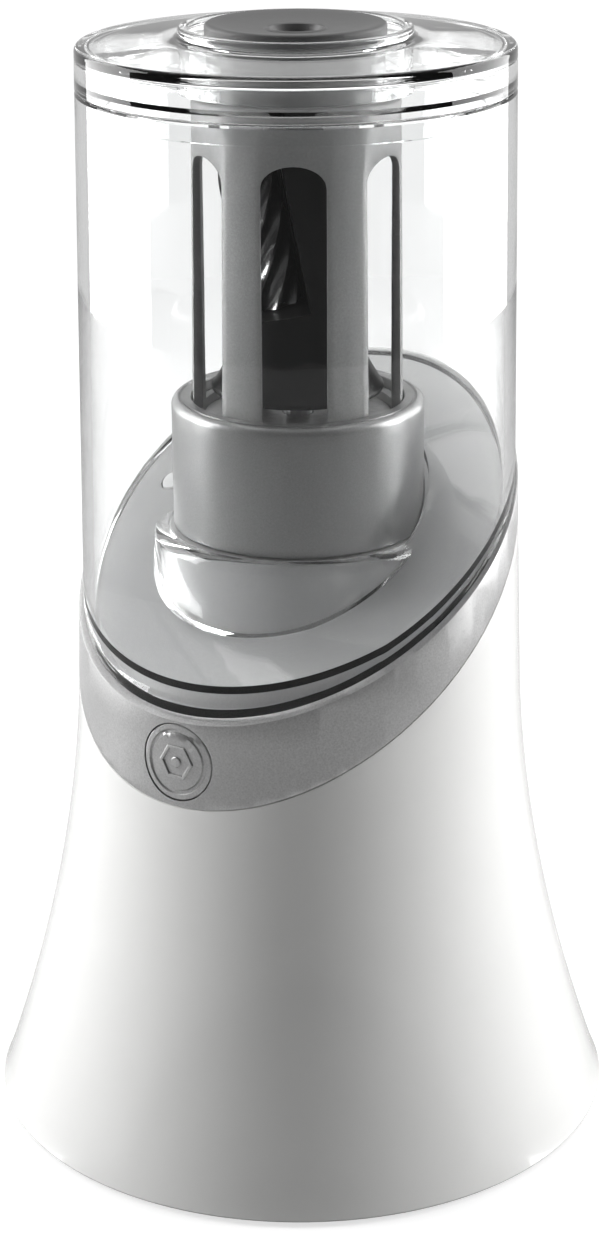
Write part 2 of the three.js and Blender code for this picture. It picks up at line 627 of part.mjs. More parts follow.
// The cutter's axis leans outwards by the tilt.
const cutterFrame = new THREE.Matrix4()
  .makeRotationZ(CUTTER_AZIMUTH)
  .multiply(new THREE.Matrix4().makeRotationY(CUTTER_TILT))
  .setPosition(0, 0, APEX_Z);

const CARRIER_LOW_Z = PEDESTAL_RIM_Z + CARRIER_LIFT;
const AXLE_LOW = CUTTER_LOW - AXLE_TAIL;
const AXLE_HIGH = PLANET_SPAN + PLANET_FACE / 2 + 2;
const SHAFT_TOP_Z = CARRIER_LOW_Z + SHAFT_ENTRY;

function inCutterFrame(geometry) {
  return geometry.applyMatrix4(cutterFrame);
}

function cutterRod(radius, low, high, sides = COARSE) {
  const geometry = new THREE.CylinderGeometry(radius, radius, high - low, sides);
  geometry.rotateX(Math.PI / 2).translate(0, 0, (low + high) / 2);
  return solid(inCutterFrame(geometry));
}

function helicalCutter() {
  const shape = new THREE.Shape();
  const step = (2 * Math.PI) / CUTTER_FLUTES;
  for (let flute = 0; flute < CUTTER_FLUTES; flute++) {
    const start = flute * step;
    const root = CUTTER_RADIUS - FLUTE_DEPTH;
    const corners = [[CUTTER_RADIUS, 0], [CUTTER_RADIUS * 0.985, 0.3], [root, 0.8]];
    for (const [r, share] of corners) {
      const [x, y] = polar(r, start + share * step);
      if (flute === 0 && share === 0) shape.moveTo(x, y);
      else shape.lineTo(x, y);
    }
  }
  shape.closePath();
  shape.holes.push(new THREE.Path().absarc(0, 0, AXLE_RADIUS + AXLE_FIT, 0, 2 * Math.PI, true));
  const options = { depth: CUTTER_LENGTH, steps: 14, bevelEnabled: false, curveSegments: 5 };
  const geometry = new THREE.ExtrudeGeometry(shape, options);
  const p = geometry.getAttribute("position");
  const twist = Math.tan(HELIX_ANGLE) / CUTTER_RADIUS;
  for (let i = 0; i < p.count; i++) {
    const turn = p.getZ(i) * twist;
    const [x, y] = [p.getX(i), p.getY(i)];
    const cos = Math.cos(turn);
    const sin = Math.sin(turn);
    p.setXY(i, x * cos - y * sin, x * sin + y * cos);
  }
  return solid(inCutterFrame(geometry.translate(0, 0, CUTTER_LOW)));
}

function cutterPinion() {
  const module = (2 * PLANET_PITCH) / PLANET_TEETH;
  const outline = gearOutline(PLANET_TEETH, module, 0, 0.5, 0.85);
  const low = PLANET_SPAN - PLANET_FACE / 2;
  const blank = gear(outline, AXLE_RADIUS + AXLE_FIT, low, low + PLANET_FACE);
  return solid(inCutterFrame(tapered(blank, 0, PLANET_SPAN)));
}

function carrierFrame() {
  const neckZ = CARRIER_LOW_Z + CARRIER_FOOT_HEIGHT;
  const shape = spun([
    [0, CARRIER_LOW_Z],
    [CARRIER_FOOT_RADIUS - 0.6, CARRIER_LOW_Z],
    [CARRIER_FOOT_RADIUS, CARRIER_LOW_Z + 1.4],
    [CARRIER_RADIUS + 1.2, CARRIER_LOW_Z + CARRIER_FOOT_HEIGHT * 0.6],
    [CARRIER_RADIUS, neckZ],
    [CARRIER_RADIUS, ROOF_UNDER_Z - 3.4],
    [CARRIER_TOP_RADIUS, ROOF_UNDER_Z - 2.4 + START_TRAVEL],
    [CARRIER_TOP_RADIUS, CARRIER_TOP_Z],
    [HUB_RADIUS, CARRIER_TOP_Z],
    [HUB_RADIUS, CARRIER_TOP_Z + HUB_RISE],
    [0, CARRIER_TOP_Z + HUB_RISE],
  ], FINE);
  const pencil = spun([
    [0, TIP_Z],
    [PENCIL_BORE + 0.2, TIP_Z + (PENCIL_BORE + 0.2) / Math.tan(CUTTER_TILT)],
    [PENCIL_BORE + 0.2, TOP_Z],
    [0, TOP_Z],
  ], COARSE);
  const room = CUTTER_RADIUS + 0.7;
  const low = CUTTER_LOW - GAP;
  const high = CUTTER_TOP + GAP;
  const side = new THREE.BoxGeometry(2 * room, 2 * room, high - low);
  side.translate(room, 0, (low + high) / 2);
  const front = new THREE.BoxGeometry(2 * room, 3 * room, high - low);
  front.translate(0, 1.5 * room, (low + high) / 2);
  const planetRoom = PLANET_PITCH + 1.1;
  const planetLow = PLANET_SPAN - PLANET_FACE / 2 - GAP;
  const planetHigh = PLANET_SPAN + PLANET_FACE / 2 + GAP;
  const pocket = new THREE.BoxGeometry(4 * planetRoom, 2 * planetRoom, planetHigh - planetLow);
  pocket.translate(2 * planetRoom, 0, (planetLow + planetHigh) / 2);
  return shape
    .subtract(pencil)
    .subtract(cutterRod(room, low, high))
    .subtract(solid(inCutterFrame(side)))
    .subtract(solid(inCutterFrame(front)))
    .subtract(cutterRod(planetRoom, planetLow, planetHigh))
    .subtract(solid(inCutterFrame(pocket)))
    .subtract(cutterRod(AXLE_RADIUS + GAP, AXLE_LOW - GAP, AXLE_HIGH + GAP, 12))
    .subtract(rod(SHAFT_RADIUS + GAP, CARRIER_LOW_Z - 1, SHAFT_TOP_Z + GAP));
}

// ---- Gear train, motor and switches in the base -----------------------------------------------

const OUTPUT_REACH = (MODULE * (OUTPUT_TEETH + PINION_TEETH)) / 2;
const IDLER_REACH = (MODULE * (IDLER_TEETH + PINION_TEETH)) / 2;
const IDLER_Y =
  (MOTOR_AXIS_Y ** 2 + OUTPUT_REACH ** 2 - IDLER_REACH ** 2) / (2 * MOTOR_AXIS_Y);
const IDLER_X = Math.sqrt(OUTPUT_REACH ** 2 - IDLER_Y ** 2);
const IDLER_LOW_Z = LOWER_PLATE_TOP_Z + IDLER_FLOOR;
const IDLER_TOP_Z = IDLER_LOW_Z + GEAR_FACE;
const OUTPUT_LOW_Z = IDLER_TOP_Z + START_TRAVEL + 2 * GAP;
const TO_IDLER = Math.atan2(IDLER_Y, IDLER_X);
const TO_MOTOR = Math.atan2(MOTOR_AXIS_Y - IDLER_Y, -IDLER_X);
const NOTCH_X = -POST_CIRCLE;
const HEAD_RECESS = 1.2;
const MOTOR_TOP_Z = LOWER_PLATE_Z - GAP;
const MOTOR_LOW_Z = MOTOR_TOP_Z - MOTOR_LENGTH;
const MOTOR_BOSS_RADIUS = 4.5;
const MOTOR_SCREW_X = 8;

function postHoles(shape) {
  let cut = shape;
  for (const angle of POST_ANGLES) {
    const [x, y] = polar(POST_CIRCLE, angle);
    cut = cut.subtract(rod(SCREW_RADIUS + GAP, LOWER_PLATE_Z - 1, GEARBOX_TOP_Z + 1, 8, x, y));
  }
  return cut;
}

function gearPlate(low) {
  const plate = rod(PLATE_RADIUS, low, low + PLATE_THICK, 48)
    .subtract(box(-HALL, NOTCH_X, -HALL, HALL, low - 1, low + PLATE_THICK + 1))
    .subtract(rod(SHAFT_RADIUS + GAP, low - 1, low + PLATE_THICK + 1))
    .subtract(rod(PIN_RADIUS + GAP, low - 1, low + PLATE_THICK + 1, 16, IDLER_X, IDLER_Y));
  return postHoles(plate);
}

function lowerPlate() {
  let plate = gearPlate(LOWER_PLATE_Z);
  const [low, high] = [LOWER_PLATE_Z - 1, LOWER_PLATE_TOP_Z + 1];
  plate = plate.subtract(rod(MOTOR_BOSS_RADIUS + GAP, low, high, COARSE, 0, MOTOR_AXIS_Y));
  for (const x of [-MOTOR_SCREW_X, MOTOR_SCREW_X]) {
    plate = plate.subtract(rod(SCREW_RADIUS + GAP, low, high, 12, x, MOTOR_AXIS_Y));
    const recess = rod(2.5, LOWER_PLATE_TOP_Z - HEAD_RECESS - 0.1, high, 16, x, MOTOR_AXIS_Y);
    plate = plate.subtract(recess);
  }
  return plate;
}

function screw(headRadius, headLow, headHigh, shankTop) {
  const shank = rod(SCREW_RADIUS, (headLow + headHigh) / 2, shankTop, 8);
  return union(rod(headRadius, headLow, headHigh, 12), shank);
}

function buildGearbox() {
  const { x: length, y: depth, z: height } = SWITCH_SIZE;
  place(sharpener, "gearbox_lower_plate", lowerPlate(), "steel");
  place(sharpener, "gearbox_upper_plate", gearPlate(UPPER_PLATE_Z), "steel");
  POST_ANGLES.forEach((angle, k) => {
    const [x, y] = polar(POST_CIRCLE, angle);
    const bore = SCREW_RADIUS + GAP;
    const post = washer(bore, POST_RADIUS, LOWER_PLATE_TOP_Z + GAP, UPPER_PLATE_Z - GAP, 12);
    place(sharpener, `gearbox_post_${k + 1}`, post, "steel").position.set(x, y, 0);
    const low = LOWER_PLATE_Z - GAP;
    const bolt = screw(2.4, low - 1.6, low, GEARBOX_TOP_Z + 8.5);
    place(sharpener, `gearbox_screw_${k + 1}`, bolt, "steel").position.set(x, y, 0);
  });
  const pin = rod(PIN_RADIUS, LOWER_PLATE_Z + 0.2, GEARBOX_TOP_Z - 0.2, 16);
  place(sharpener, "idler_pin", pin, "steel").position.set(IDLER_X, IDLER_Y, 0);

  const bore = MOTOR_SHAFT_RADIUS + GAP;
  const can = union(
    rod(MOTOR_RADIUS, MOTOR_LOW_Z, MOTOR_TOP_Z, 32),
    rod(MOTOR_BOSS_RADIUS, MOTOR_TOP_Z - 1, MOTOR_TOP_Z + 2, COARSE),
  ).subtract(rod(bore, MOTOR_TOP_Z - 12, MOTOR_TOP_Z + 3, 12))
    .subtract(rod(SCREW_RADIUS + GAP, MOTOR_TOP_Z - 6.5, MOTOR_TOP_Z + 1, 12, MOTOR_SCREW_X))
    .subtract(rod(SCREW_RADIUS + GAP, MOTOR_TOP_Z - 6.5, MOTOR_TOP_Z + 1, 12, -MOTOR_SCREW_X));
  place(sharpener, "motor_can", can, "steel").position.set(0, MOTOR_AXIS_Y, 0);
  const capTop = MOTOR_LOW_Z - GAP;
  const cap = rod(MOTOR_RADIUS - 1, capTop - MOTOR_CAP, capTop, 32);
  place(sharpener, "motor_endcap", cap, "black").position.set(0, MOTOR_AXIS_Y, 0);
  const tagTop = capTop - MOTOR_CAP - GAP;
  for (const [name, x] of [["motor_terminal_1", -6], ["motor_terminal_2", 6]]) {
    const tag = box(x - 1.5, x + 1.5, -0.4, 0.4, tagTop - 3, tagTop);
    place(sharpener, name, tag, "brass").position.set(0, MOTOR_AXIS_Y, 0);
  }
  for (const [name, x] of [["motor_screw_1", -MOTOR_SCREW_X], ["motor_screw_2", MOTOR_SCREW_X]]) {
    const head = LOWER_PLATE_TOP_Z - HEAD_RECESS + 0.2;
    const bolt = union(
      rod(2.2, head, LOWER_PLATE_TOP_Z - 0.1, 12),
      rod(SCREW_RADIUS, MOTOR_TOP_Z - 6, head + 0.2, 8),
    );
    place(sharpener, name, bolt, "steel").position.set(x, MOTOR_AXIS_Y, 0);
  }

  // Start switch on its bracket, under the end of the drive shaft
  const legY = THRUST_HEAD_RADIUS + 0.5;
  const bracketTop = LOWER_PLATE_Z - GAP;
  const arm = THRUST_TOP_Z - THRUST_ARM_DROP;
  const bracket = union(
    box(-8, 8, legY, legY + 1.6, START_SWITCH_TOP_Z - height - 1, bracketTop),
    box(-8, 8, legY, legY + 9, bracketTop - 1.6, bracketTop),
    box(-6, 6, -THRUST_HEAD_RADIUS, legY + 0.8, arm, arm + ARM_THICK),
  ).subtract(rod(THRUST_STEM_RADIUS + GAP, arm - 1, arm + 3, 16));
  place(sharpener, "switch_bracket", bracket, "steel");
  const back = legY - GAP;
  const body = box(-length / 2, length / 2, back - depth, back, START_SWITCH_TOP_Z - height,
    START_SWITCH_TOP_Z);
  const button = box(-1.2, 1.2, -0.8, 1.6, START_SWITCH_TOP_Z - 0.5, START_SWITCH_TOP_Z + SWITCH_BUTTON);
  place(sharpener, "start_switch", union(body, button), "black");

  // Interlock switch on the deck's wall, under its plunger
  const low = SWITCH_LOW_Z;
  const interlock = union(
    box(PLUNGER_X - depth / 2, PLUNGER_X + depth / 2, PLUNGER_Y - length / 2,
      PLUNGER_Y + length / 2, low, low + height),
    box(PLUNGER_X - 1.2, PLUNGER_X + 1.2, PLUNGER_Y - 1.2, PLUNGER_Y + 1.2, low + height - 0.5,
      low + height + SWITCH_BUTTON),
  );
  place(sharpener, "interlock_switch", interlock, "black");
}

// ---- Underside, board, power inlet and leads ---------------------------------------------------

function bottomCover() {
  const standoffs = [-1, 1].map((side) =>
    rod(2.5, COVER_TOP_Z - 1, COVER_TOP_Z + BOARD_LIFT - GAP, 12, side * 17, BOARD_Y),
  );
  let cover = union(rod(COVER_RADIUS, COVER_LIFT, COVER_TOP_Z, FINE), ...standoffs);
  for (const angle of COVER_SCREW_ANGLES) {
    const [x, y] = polar(COVER_SCREW_CIRCLE, angle);
    cover = cover
      .subtract(rod(SCREW_RADIUS + GAP, COVER_LIFT - 1, COVER_TOP_Z + 1, 8, x, y))
      .subtract(rod(3.1, COVER_LIFT - 1, COVER_LIFT + 1.3, 16, x, y));
  }
  return cover;
}

function powerJack() {
  const { x: width, y: depth, z: height } = JACK_SIZE;
  const wall = outsideRadius(JACK_Z + height / 2) - SHELL_WALL;
  const face = Math.sqrt(wall ** 2 - (width / 2) ** 2) - 2 * GAP;
  const body = box(-width / 2, width / 2, face - depth, face, BOARD_TOP_Z + GAP,
    BOARD_TOP_Z + GAP + height);
  const bore = new THREE.CylinderGeometry(JACK_BORE, JACK_BORE, depth, 20);
  const pin = new THREE.CylinderGeometry(1, 1, depth - 2, 12);
  return body
    .subtract(solid(bore.translate(0, face - depth / 2 + 2, JACK_Z)))
    .add(solid(pin.translate(0, face - depth / 2 - 0.5, JACK_Z)));
}

// A lead held inside the base, through points chosen by hand.
function lead(...points) {
  const path = new THREE.CatmullRomCurve3(points.map((p) => new THREE.Vector3(...p)));
  const section = new THREE.Shape().absarc(0, 0, LEAD_RADIUS, 0, 2 * Math.PI);
  const options = { steps: 9, curveSegments: 4, extrudePath: path, bevelEnabled: false };
  return solid(new THREE.ExtrudeGeometry(section, options));
}

function buildUnderside() {
  place(sharpener, "bottom_cover", bottomCover(), "dark_grey");
  FOOT_ANGLES.forEach((angle, k) => {
    const [x, y] = polar(FOOT_CIRCLE, angle);
    const foot = rod(FOOT_RADIUS, 0, COVER_LIFT - GAP, COARSE);
    place(sharpener, `rubber_foot_${k + 1}`, foot, "rubber").position.set(x, y, 0);
  });
  COVER_SCREW_ANGLES.forEach((angle, k) => {
    const [x, y] = polar(COVER_SCREW_CIRCLE, angle);
    const bolt = screw(2.7, COVER_LIFT, COVER_LIFT + 1, COVER_TOP_Z + 10);
    place(sharpener, `cover_screw_${k + 1}`, bolt, "steel").position.set(x, y, 0);
  });
  const { x: length, y: depth } = BOARD_SIZE;
  const board = box(-length / 2, length / 2, BOARD_Y - depth / 2, BOARD_Y + depth / 2,
    COVER_TOP_Z + BOARD_LIFT, BOARD_TOP_Z);
  place(sharpener, "circuit_board", board, "green_board");
  const low = BOARD_TOP_Z + GAP;
  place(sharpener, "board_capacitor", rod(4, low, low + 11, COARSE, 15, BOARD_Y - 2), "black");
  const plugTop = low + 5;
  const plugY = BOARD_Y - depth / 2 + 4;
  const plug = box(-20, 8, plugY - 3, plugY + 3, low, plugTop);
  place(sharpener, "board_connector", plug, "white_plastic");
  place(sharpener, "power_jack", powerJack(), "black");

  const end = plugTop + GAP;
  const tag = MOTOR_LOW_Z - MOTOR_CAP - 2 * GAP - 3 - GAP;
  const y = MOTOR_AXIS_Y;
  place(sharpener, "motor_lead_red", lead([6, y, tag], [6, y + 3, tag - 4], [7, -5, end + 2],
    [7, 10, end + 4], [6, plugY - 0.5, end + 4], [6, plugY, end]), "red_lead");
  place(sharpener, "motor_lead_black", lead([-6, y, tag], [-6, y + 3, tag - 4], [-2, -5, end + 2],
    [1, 10, end + 4], [2, plugY - 0.5, end + 4], [2, plugY, end]), "black_lead");
  const switchLow = START_SWITCH_TOP_Z - SWITCH_SIZE.z - GAP;
  place(sharpener, "start_switch_lead", lead([-3, 1.3, switchLow], [-4, 4, switchLow - 8],
    [-6, 12, switchLow - 22], [-6, plugY, end + 8], [-6, plugY, end]), "black_lead");
  const interlock = SWITCH_LOW_Z - GAP;
  const wallX = NOTCH_X - 2.5;
  place(sharpener, "interlock_lead", lead([PLUNGER_X - 1.5, PLUNGER_Y, interlock],
    [wallX, 4, interlock - 8], [wallX, 6, LOWER_PLATE_Z - 6], [wallX, 12, LOWER_PLATE_Z - 26],
    [-26, 22, end + 12], [-16, plugY, end + 6], [-16, plugY, end]), "black_lead");
}

// ---- Bin and lid -----------------------------------------------------------------------------

function binShell() {
  const low = 60;
  const rim = BIN_RIM_Z;
  const wall = turned([
    [binRadius(low) - BIN_WALL, low],
    [binRadius(low), low],
    [binRadius(rim), rim],
    [binRadius(rim) - BIN_WALL, rim],
  ]).subtract(under(BIN_BOTTOM, DECK_SLOPE));
  const floorRadius = binRadius(DECK_BACK_Z) - BIN_WALL / 2;
  const floor = rod(floorRadius, low, BACK_Z + 5, FINE)
    .intersect(underCrease(SLIDE_GAP + BIN_FLOOR))
    .subtract(underCrease(SLIDE_GAP));
  const inner = PEDESTAL_RADIUS + COLLAR_GAP;
  const outer = inner + COLLAR_WALL;
  const top = PEDESTAL_FOOT_Z;
  const collar = turned([
    [inner, low],
    [outer + COLLAR_FLARE + 0.4, low],
    [outer + COLLAR_FLARE, top - 12],
    ...arc(outer - 2.2, top - 2.2, 2.2, 0, 90, 4),
    [inner, top],
  ]).subtract(underCrease(SLIDE_GAP));
  return union(wall, floor, collar).subtract(rod(inner, low, BACK_Z + 10, FINE));
}

function binLid() {
  const rim = BIN_RIM_Z;
  const outer = binRadius(rim);
  const plug = outer - BIN_WALL - SLIDE_GAP * 0.7;
  const plateUnder = LID_EDGE_Z - LID_WALL;
  const bossInner = BOSS_RADIUS - BOSS_WALL;
  const bossTop = TOP_Z - BOSS_DROP;
  const bossLow = SHOULDER_Z + 1;
  return turned([
    [plug - 1.8, rim - PLUG_DEPTH],
    [plug, rim - PLUG_DEPTH],
    [plug, rim + GAP],
    [outer, rim + GAP],
    ...arc(BIN_RADIUS - LID_ROUND, LID_EDGE_Z - LID_ROUND, LID_ROUND, 0, 75, 3),
    [BOSS_RADIUS + 0.8, LID_EDGE_Z + LID_DOME],
    [BOSS_RADIUS, LID_EDGE_Z + LID_DOME + 0.6],
    [BOSS_RADIUS, bossTop - 0.5],
    [BOSS_RADIUS - 0.5, bossTop],
    [bossInner + 0.4, bossTop],
    [bossInner, bossTop - 0.4],
    [bossInner, bossLow],
    [BOSS_RADIUS, bossLow],
    [BOSS_RADIUS, plateUnder + LID_DOME],
    [outer - LID_WALL, plateUnder],
    [outer - LID_WALL, rim + 2.5],
    [plug - 1.8, rim + 1.2],
  ]);
}

function interlockPlunger() {
  const low = SWITCH_LOW_Z + SWITCH_SIZE.z + SWITCH_BUTTON + GAP;
  const collarTop = DECK_UNDER + DECK_SLOPE * (PLUNGER_Y - 3) - INTERLOCK_TRAVEL - GAP;
  const stem = rod(PLUNGER_RADIUS, low, BACK_Z, COARSE, PLUNGER_X, PLUNGER_Y);
  const collar = rod(PLUNGER_RADIUS + 0.8, collarTop - 2, collarTop, COARSE, PLUNGER_X, PLUNGER_Y);
  return union(stem.intersect(underCrease(SLIDE_GAP - GAP)), collar);
}

// ---- Moving drive parts -------------------------------------------------------------------------

function thrustButton() {
  const low = THRUST_TOP_Z - THRUST_LENGTH;
  const headLow = THRUST_TOP_Z - THRUST_HEAD;
  return union(
    rod(THRUST_HEAD_RADIUS, headLow, THRUST_TOP_Z, COARSE),
    rod(THRUST_STEM_RADIUS, low, headLow + 1, 16),
  );
}

function returnSpring() {
  const low = THRUST_TOP_Z - THRUST_ARM_DROP + ARM_THICK + GAP + SPRING_WIRE;
  const high = THRUST_TOP_Z - THRUST_HEAD - GAP - SPRING_WIRE;
  const steps = 28;
  const points = Array.from({ length: steps + 1 }, (_, i) => {
    const share = i / steps;
    const [x, y] = polar(SPRING_RADIUS, share * SPRING_TURNS * 2 * Math.PI);
    return new THREE.Vector3(x, y, low + (high - low) * share);
  });
  const path = new THREE.CatmullRomCurve3(points);
  const section = new THREE.Shape().absarc(0, 0, SPRING_WIRE, 0, 2 * Math.PI);
  const options = { steps, curveSegments: 3, extrudePath: path, bevelEnabled: false };
  return solid(new THREE.ExtrudeGeometry(section, options));
}

function compoundGear() {
  const bore = PIN_RADIUS + AXLE_FIT;
  const pinionTop = OUTPUT_LOW_Z + GEAR_FACE + 1;
  const wheel = gearOutline(IDLER_TEETH, MODULE, TO_MOTOR);
  const small = gearOutline(PINION_TEETH, MODULE, TO_IDLER + Math.PI + Math.PI / PINION_TEETH);
  return union(
    solid(gear(wheel, bore, IDLER_LOW_Z, IDLER_TOP_Z)),
    solid(gear(small, bore, IDLER_TOP_Z - 0.5, pinionTop)),
  );
}

function outputGear() {
  const outline = gearOutline(OUTPUT_TEETH, MODULE, TO_IDLER);
  return solid(gear(outline, SHAFT_RADIUS + GAP, OUTPUT_LOW_Z, OUTPUT_LOW_Z + GEAR_FACE));
}

function motorPinion() {
  const angle = TO_MOTOR + Math.PI + Math.PI / PINION_TEETH;
  const outline = gearOutline(PINION_TEETH, MODULE, angle);
  const bore = MOTOR_SHAFT_RADIUS + GAP;
  return solid(gear(outline, bore, IDLER_LOW_Z, IDLER_TOP_Z + 0.5));
}

// ---- The moving bodies, each in a group of its own ----------------------------------------------

function buildMovingBodies() {
  const bin = new THREE.Group();
  place(bin, "bin_shell", binShell(), "clear");
  const lid = new THREE.Group();
  place(lid, "bin_lid", binLid(), "clear");
  bin.add(lid);
  sharpener.add(bin);
  place(sharpener, "interlock_plunger", interlockPlunger(), "white_plastic");

  const slider = new THREE.Group();
  place(slider, "thrust_button", thrustButton(), "white_plastic");
  place(slider, "return_spring", returnSpring(), "steel");
  const carrier = new THREE.Group();
  place(carrier, "carrier_frame", carrierFrame(), "black");
  place(carrier, "drive_shaft", rod(SHAFT_RADIUS, SHAFT_LOW_Z, SHAFT_TOP_Z, COARSE), "steel");
  place(carrier, "output_gear", outputGear(), "white_plastic");
  place(carrier, "cutter_axle", cutterRod(AXLE_RADIUS, AXLE_LOW, AXLE_HIGH, 12), "steel");
  const cutter = new THREE.Group();
  place(cutter, "helical_cutter", helicalCutter(), "tool_steel");
  place(cutter, "cutter_pinion", cutterPinion(), "steel");
  carrier.add(cutter);
  slider.add(carrier);
  sharpener.add(slider);

  place(sharpener, "compound_gear", compoundGear(), "white_plastic")
    .position.set(IDLER_X, IDLER_Y, 0);
  const rotor = new THREE.Group();
  const shaftTop = IDLER_TOP_Z + 1;
  place(rotor, "motor_shaft", rod(MOTOR_SHAFT_RADIUS, MOTOR_TOP_Z - 11, shaftTop, 12), "steel");
  place(rotor, "motor_pinion", motorPinion(), "brass");
  rotor.position.set(0, MOTOR_AXIS_Y, 0);
  sharpener.add(rotor);
}

// ---- The whole sharpener --------------------------------------------------------------------------

buildHousing();
place(sharpener, "deck", deck(), "white_gloss");
place(sharpener, "pedestal", pedestal(), "grey_paint");
place(sharpener, "guide_tower", guideTower(), "silver_paint");
place(sharpener, "ring_gear", ringGear(), "steel");
place(sharpener, "entry_disc", entryDisc(), "dark_grey");
bushes();
buildGearbox();
buildUnderside();
buildMovingBodies();

export default sharpener;
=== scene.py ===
"""Looks of a desktop electric pencil sharpener with a clear shavings bin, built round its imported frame.

The part stands on the floor under the origin, +Z is up, and the badge faces -Y. All lengths are in metres.
"""

import math

import bmesh
import bpy
from bpy.props import FloatProperty, FloatVectorProperty, IntProperty, PointerProperty
from mathutils import Matrix, Vector, geometry


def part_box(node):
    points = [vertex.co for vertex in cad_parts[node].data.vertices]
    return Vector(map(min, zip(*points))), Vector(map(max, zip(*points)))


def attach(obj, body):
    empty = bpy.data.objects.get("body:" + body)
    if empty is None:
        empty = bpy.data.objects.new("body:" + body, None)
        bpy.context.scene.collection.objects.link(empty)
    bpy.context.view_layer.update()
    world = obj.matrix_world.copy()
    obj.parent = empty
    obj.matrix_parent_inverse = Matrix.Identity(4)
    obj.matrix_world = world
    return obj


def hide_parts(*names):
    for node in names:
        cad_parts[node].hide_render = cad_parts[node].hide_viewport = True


bl_info = {
    "name": "Pencil Sharpener",
    "version": (1, 0, 0),
    "blender": (4, 5, 0),
    "location": "3D View > Sidebar > Sharpener",
    "description": "Builds the visible pieces, finishes and studio of a desktop pencil sharpener",
    "category": "Object",
}

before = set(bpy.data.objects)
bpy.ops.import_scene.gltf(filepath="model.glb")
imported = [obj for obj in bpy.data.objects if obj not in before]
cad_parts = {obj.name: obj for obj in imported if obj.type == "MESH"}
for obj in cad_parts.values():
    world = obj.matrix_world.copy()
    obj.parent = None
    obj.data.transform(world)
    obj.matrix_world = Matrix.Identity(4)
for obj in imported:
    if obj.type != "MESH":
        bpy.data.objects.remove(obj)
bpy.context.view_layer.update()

MM = 0.001


def low(node, axis):
    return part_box(node)[0][axis]


def high(node, axis):
    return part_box(node)[1][axis]


# ---- Measures taken from the frame ----

BASE_RADIUS = high("base_shell", 0)
BASE_FOOT = low("base_shell", 2)
TOP = high("entry_disc", 2)
BAND_TOP = TOP - 103.2 * MM  # upper edge of the band, on the axis
LID_EDGE = TOP - 3.7 * MM
BIN_RIM = high("bin_shell", 2)
SHOULDER = TOP - 13.5 * MM
PEDESTAL_RIM = high("pedestal", 2)
PEDESTAL_FOOT = low("pedestal", 2)
PEDESTAL_RADIUS = high("pedestal", 0)
TOWER_FOOT = low("guide_tower", 2)
TOWER_RADIUS = high("guide_tower", 0)
DISC_RADIUS = high("entry_disc", 0)
JACK_HOLE = 4.2 * MM
JACK_HEIGHT = (low("power_jack", 2) + high("power_jack", 2)) / 2

DECK_SLOPE = math.tan(math.radians(30.7))
DECK_UNDER = BAND_TOP - 1.7 * MM
DECK_BACK = BAND_TOP + DECK_SLOPE * 45.5 * MM  # the band's upper plane at the back of the waist
BAND_EDGE_SLOPE = math.tan(math.radians(36.2))
BAND_HEIGHT = 10.7 * MM
CREASE_Y = -24.5 * MM
CREASE_SLOPE = 0.48
WAIST_RADIUS = 45.5 * MM
WAIST_TAPER = 0.0317
LID_RADIUS = 43.24 * MM
BIN_TAPER = 0.0156
FLOOR_LIFT = 0.5 * MM  # from the deck to the underside of the clear floor
ROOF = SHOULDER - 2.4 * MM  # underside of the tower's shoulder
BOSS_GAP = 1.15 * MM  # from the pedestal to the deck's boss and the bin's collar
PEDESTAL_BORE = 6 * MM

# ---- Working sizes: blanks, cuts and the clean-up after them ----

ROUND = 144  # steps of a large turned piece
SMALL_ROUND = 72
BADGE_STEPS = 96
BLANK_TOP = BAND_TOP + 40 * MM  # turned blanks end here before they are sliced
SPIGOT_FOOT = 70 * MM
BLANK_HALF = 20 * MM  # a slab's blank reaches this far above and below the band's upper edge
CUT_FOOT, CUT_TOP = 60 * MM, 190 * MM  # reach of the upright cuts
SAME_POINT = 1e-7
NO_LENGTH = 1e-8
CRUMB = 4e-6  # what a boolean leaves shorter than this is closed up
IN_PLANE = 0.99995  # cosine of the angle within which a face counts as lying in a plane


def waist_radius(z):
    return WAIST_RADIUS + WAIST_TAPER * (BAND_TOP - z)


def bin_radius(z):
    return LID_RADIUS + BIN_TAPER * (LID_EDGE - z)


# ---- Settings a user would change ----


def distance(name, description, default):
    return FloatProperty(
        name=name, description=description, default=default, min=0.0, precision=5,
        unit="LENGTH", subtype="DISTANCE",
    )


def power(name, description, default):
    return FloatProperty(name=name, description=description, default=default, min=0.0, unit="POWER")


def colour(name, description, default):
    return FloatVectorProperty(
        name=name, description=description, default=default, min=0.0, max=1.0, size=4, subtype="COLOR"
    )


def grey(value):
    return (value, value, value, 1.0)


class HousingSettings(bpy.types.PropertyGroup):
    wall: distance("Shell wall", "Thickness of the flared shell", 2.8 * MM)
    groove: distance("Groove", "Open line between the shell, the band and the bin", 0.3 * MM)
    band_wall: distance("Band wall", "Thickness of the silver band", 1.6 * MM)
    edge_round: distance("Edge round", "Rounding of the cut edges", 0.35 * MM)
    badge_radius: distance("Badge radius", "Radius of the round badge", 7.9 * MM)
    badge_relief: distance("Badge relief", "Depth of the badge's ring and height of its mark", 0.35 * MM)


class BinSettings(bpy.types.PropertyGroup):
    wall: distance("Bin wall", "Thickness of the clear wall", 2.3 * MM)
    floor: distance("Bin floor", "Thickness of the clear floor", 1.6 * MM)
    collar_gap: distance("Collar gap", "Open line between the collar and the pedestal", BOSS_GAP)
    collar_wall: distance("Collar wall", "Thickness of the clear collar", 3.0 * MM)
    collar_round: distance("Collar round", "Rounding of the collar's rim", 2.2 * MM)


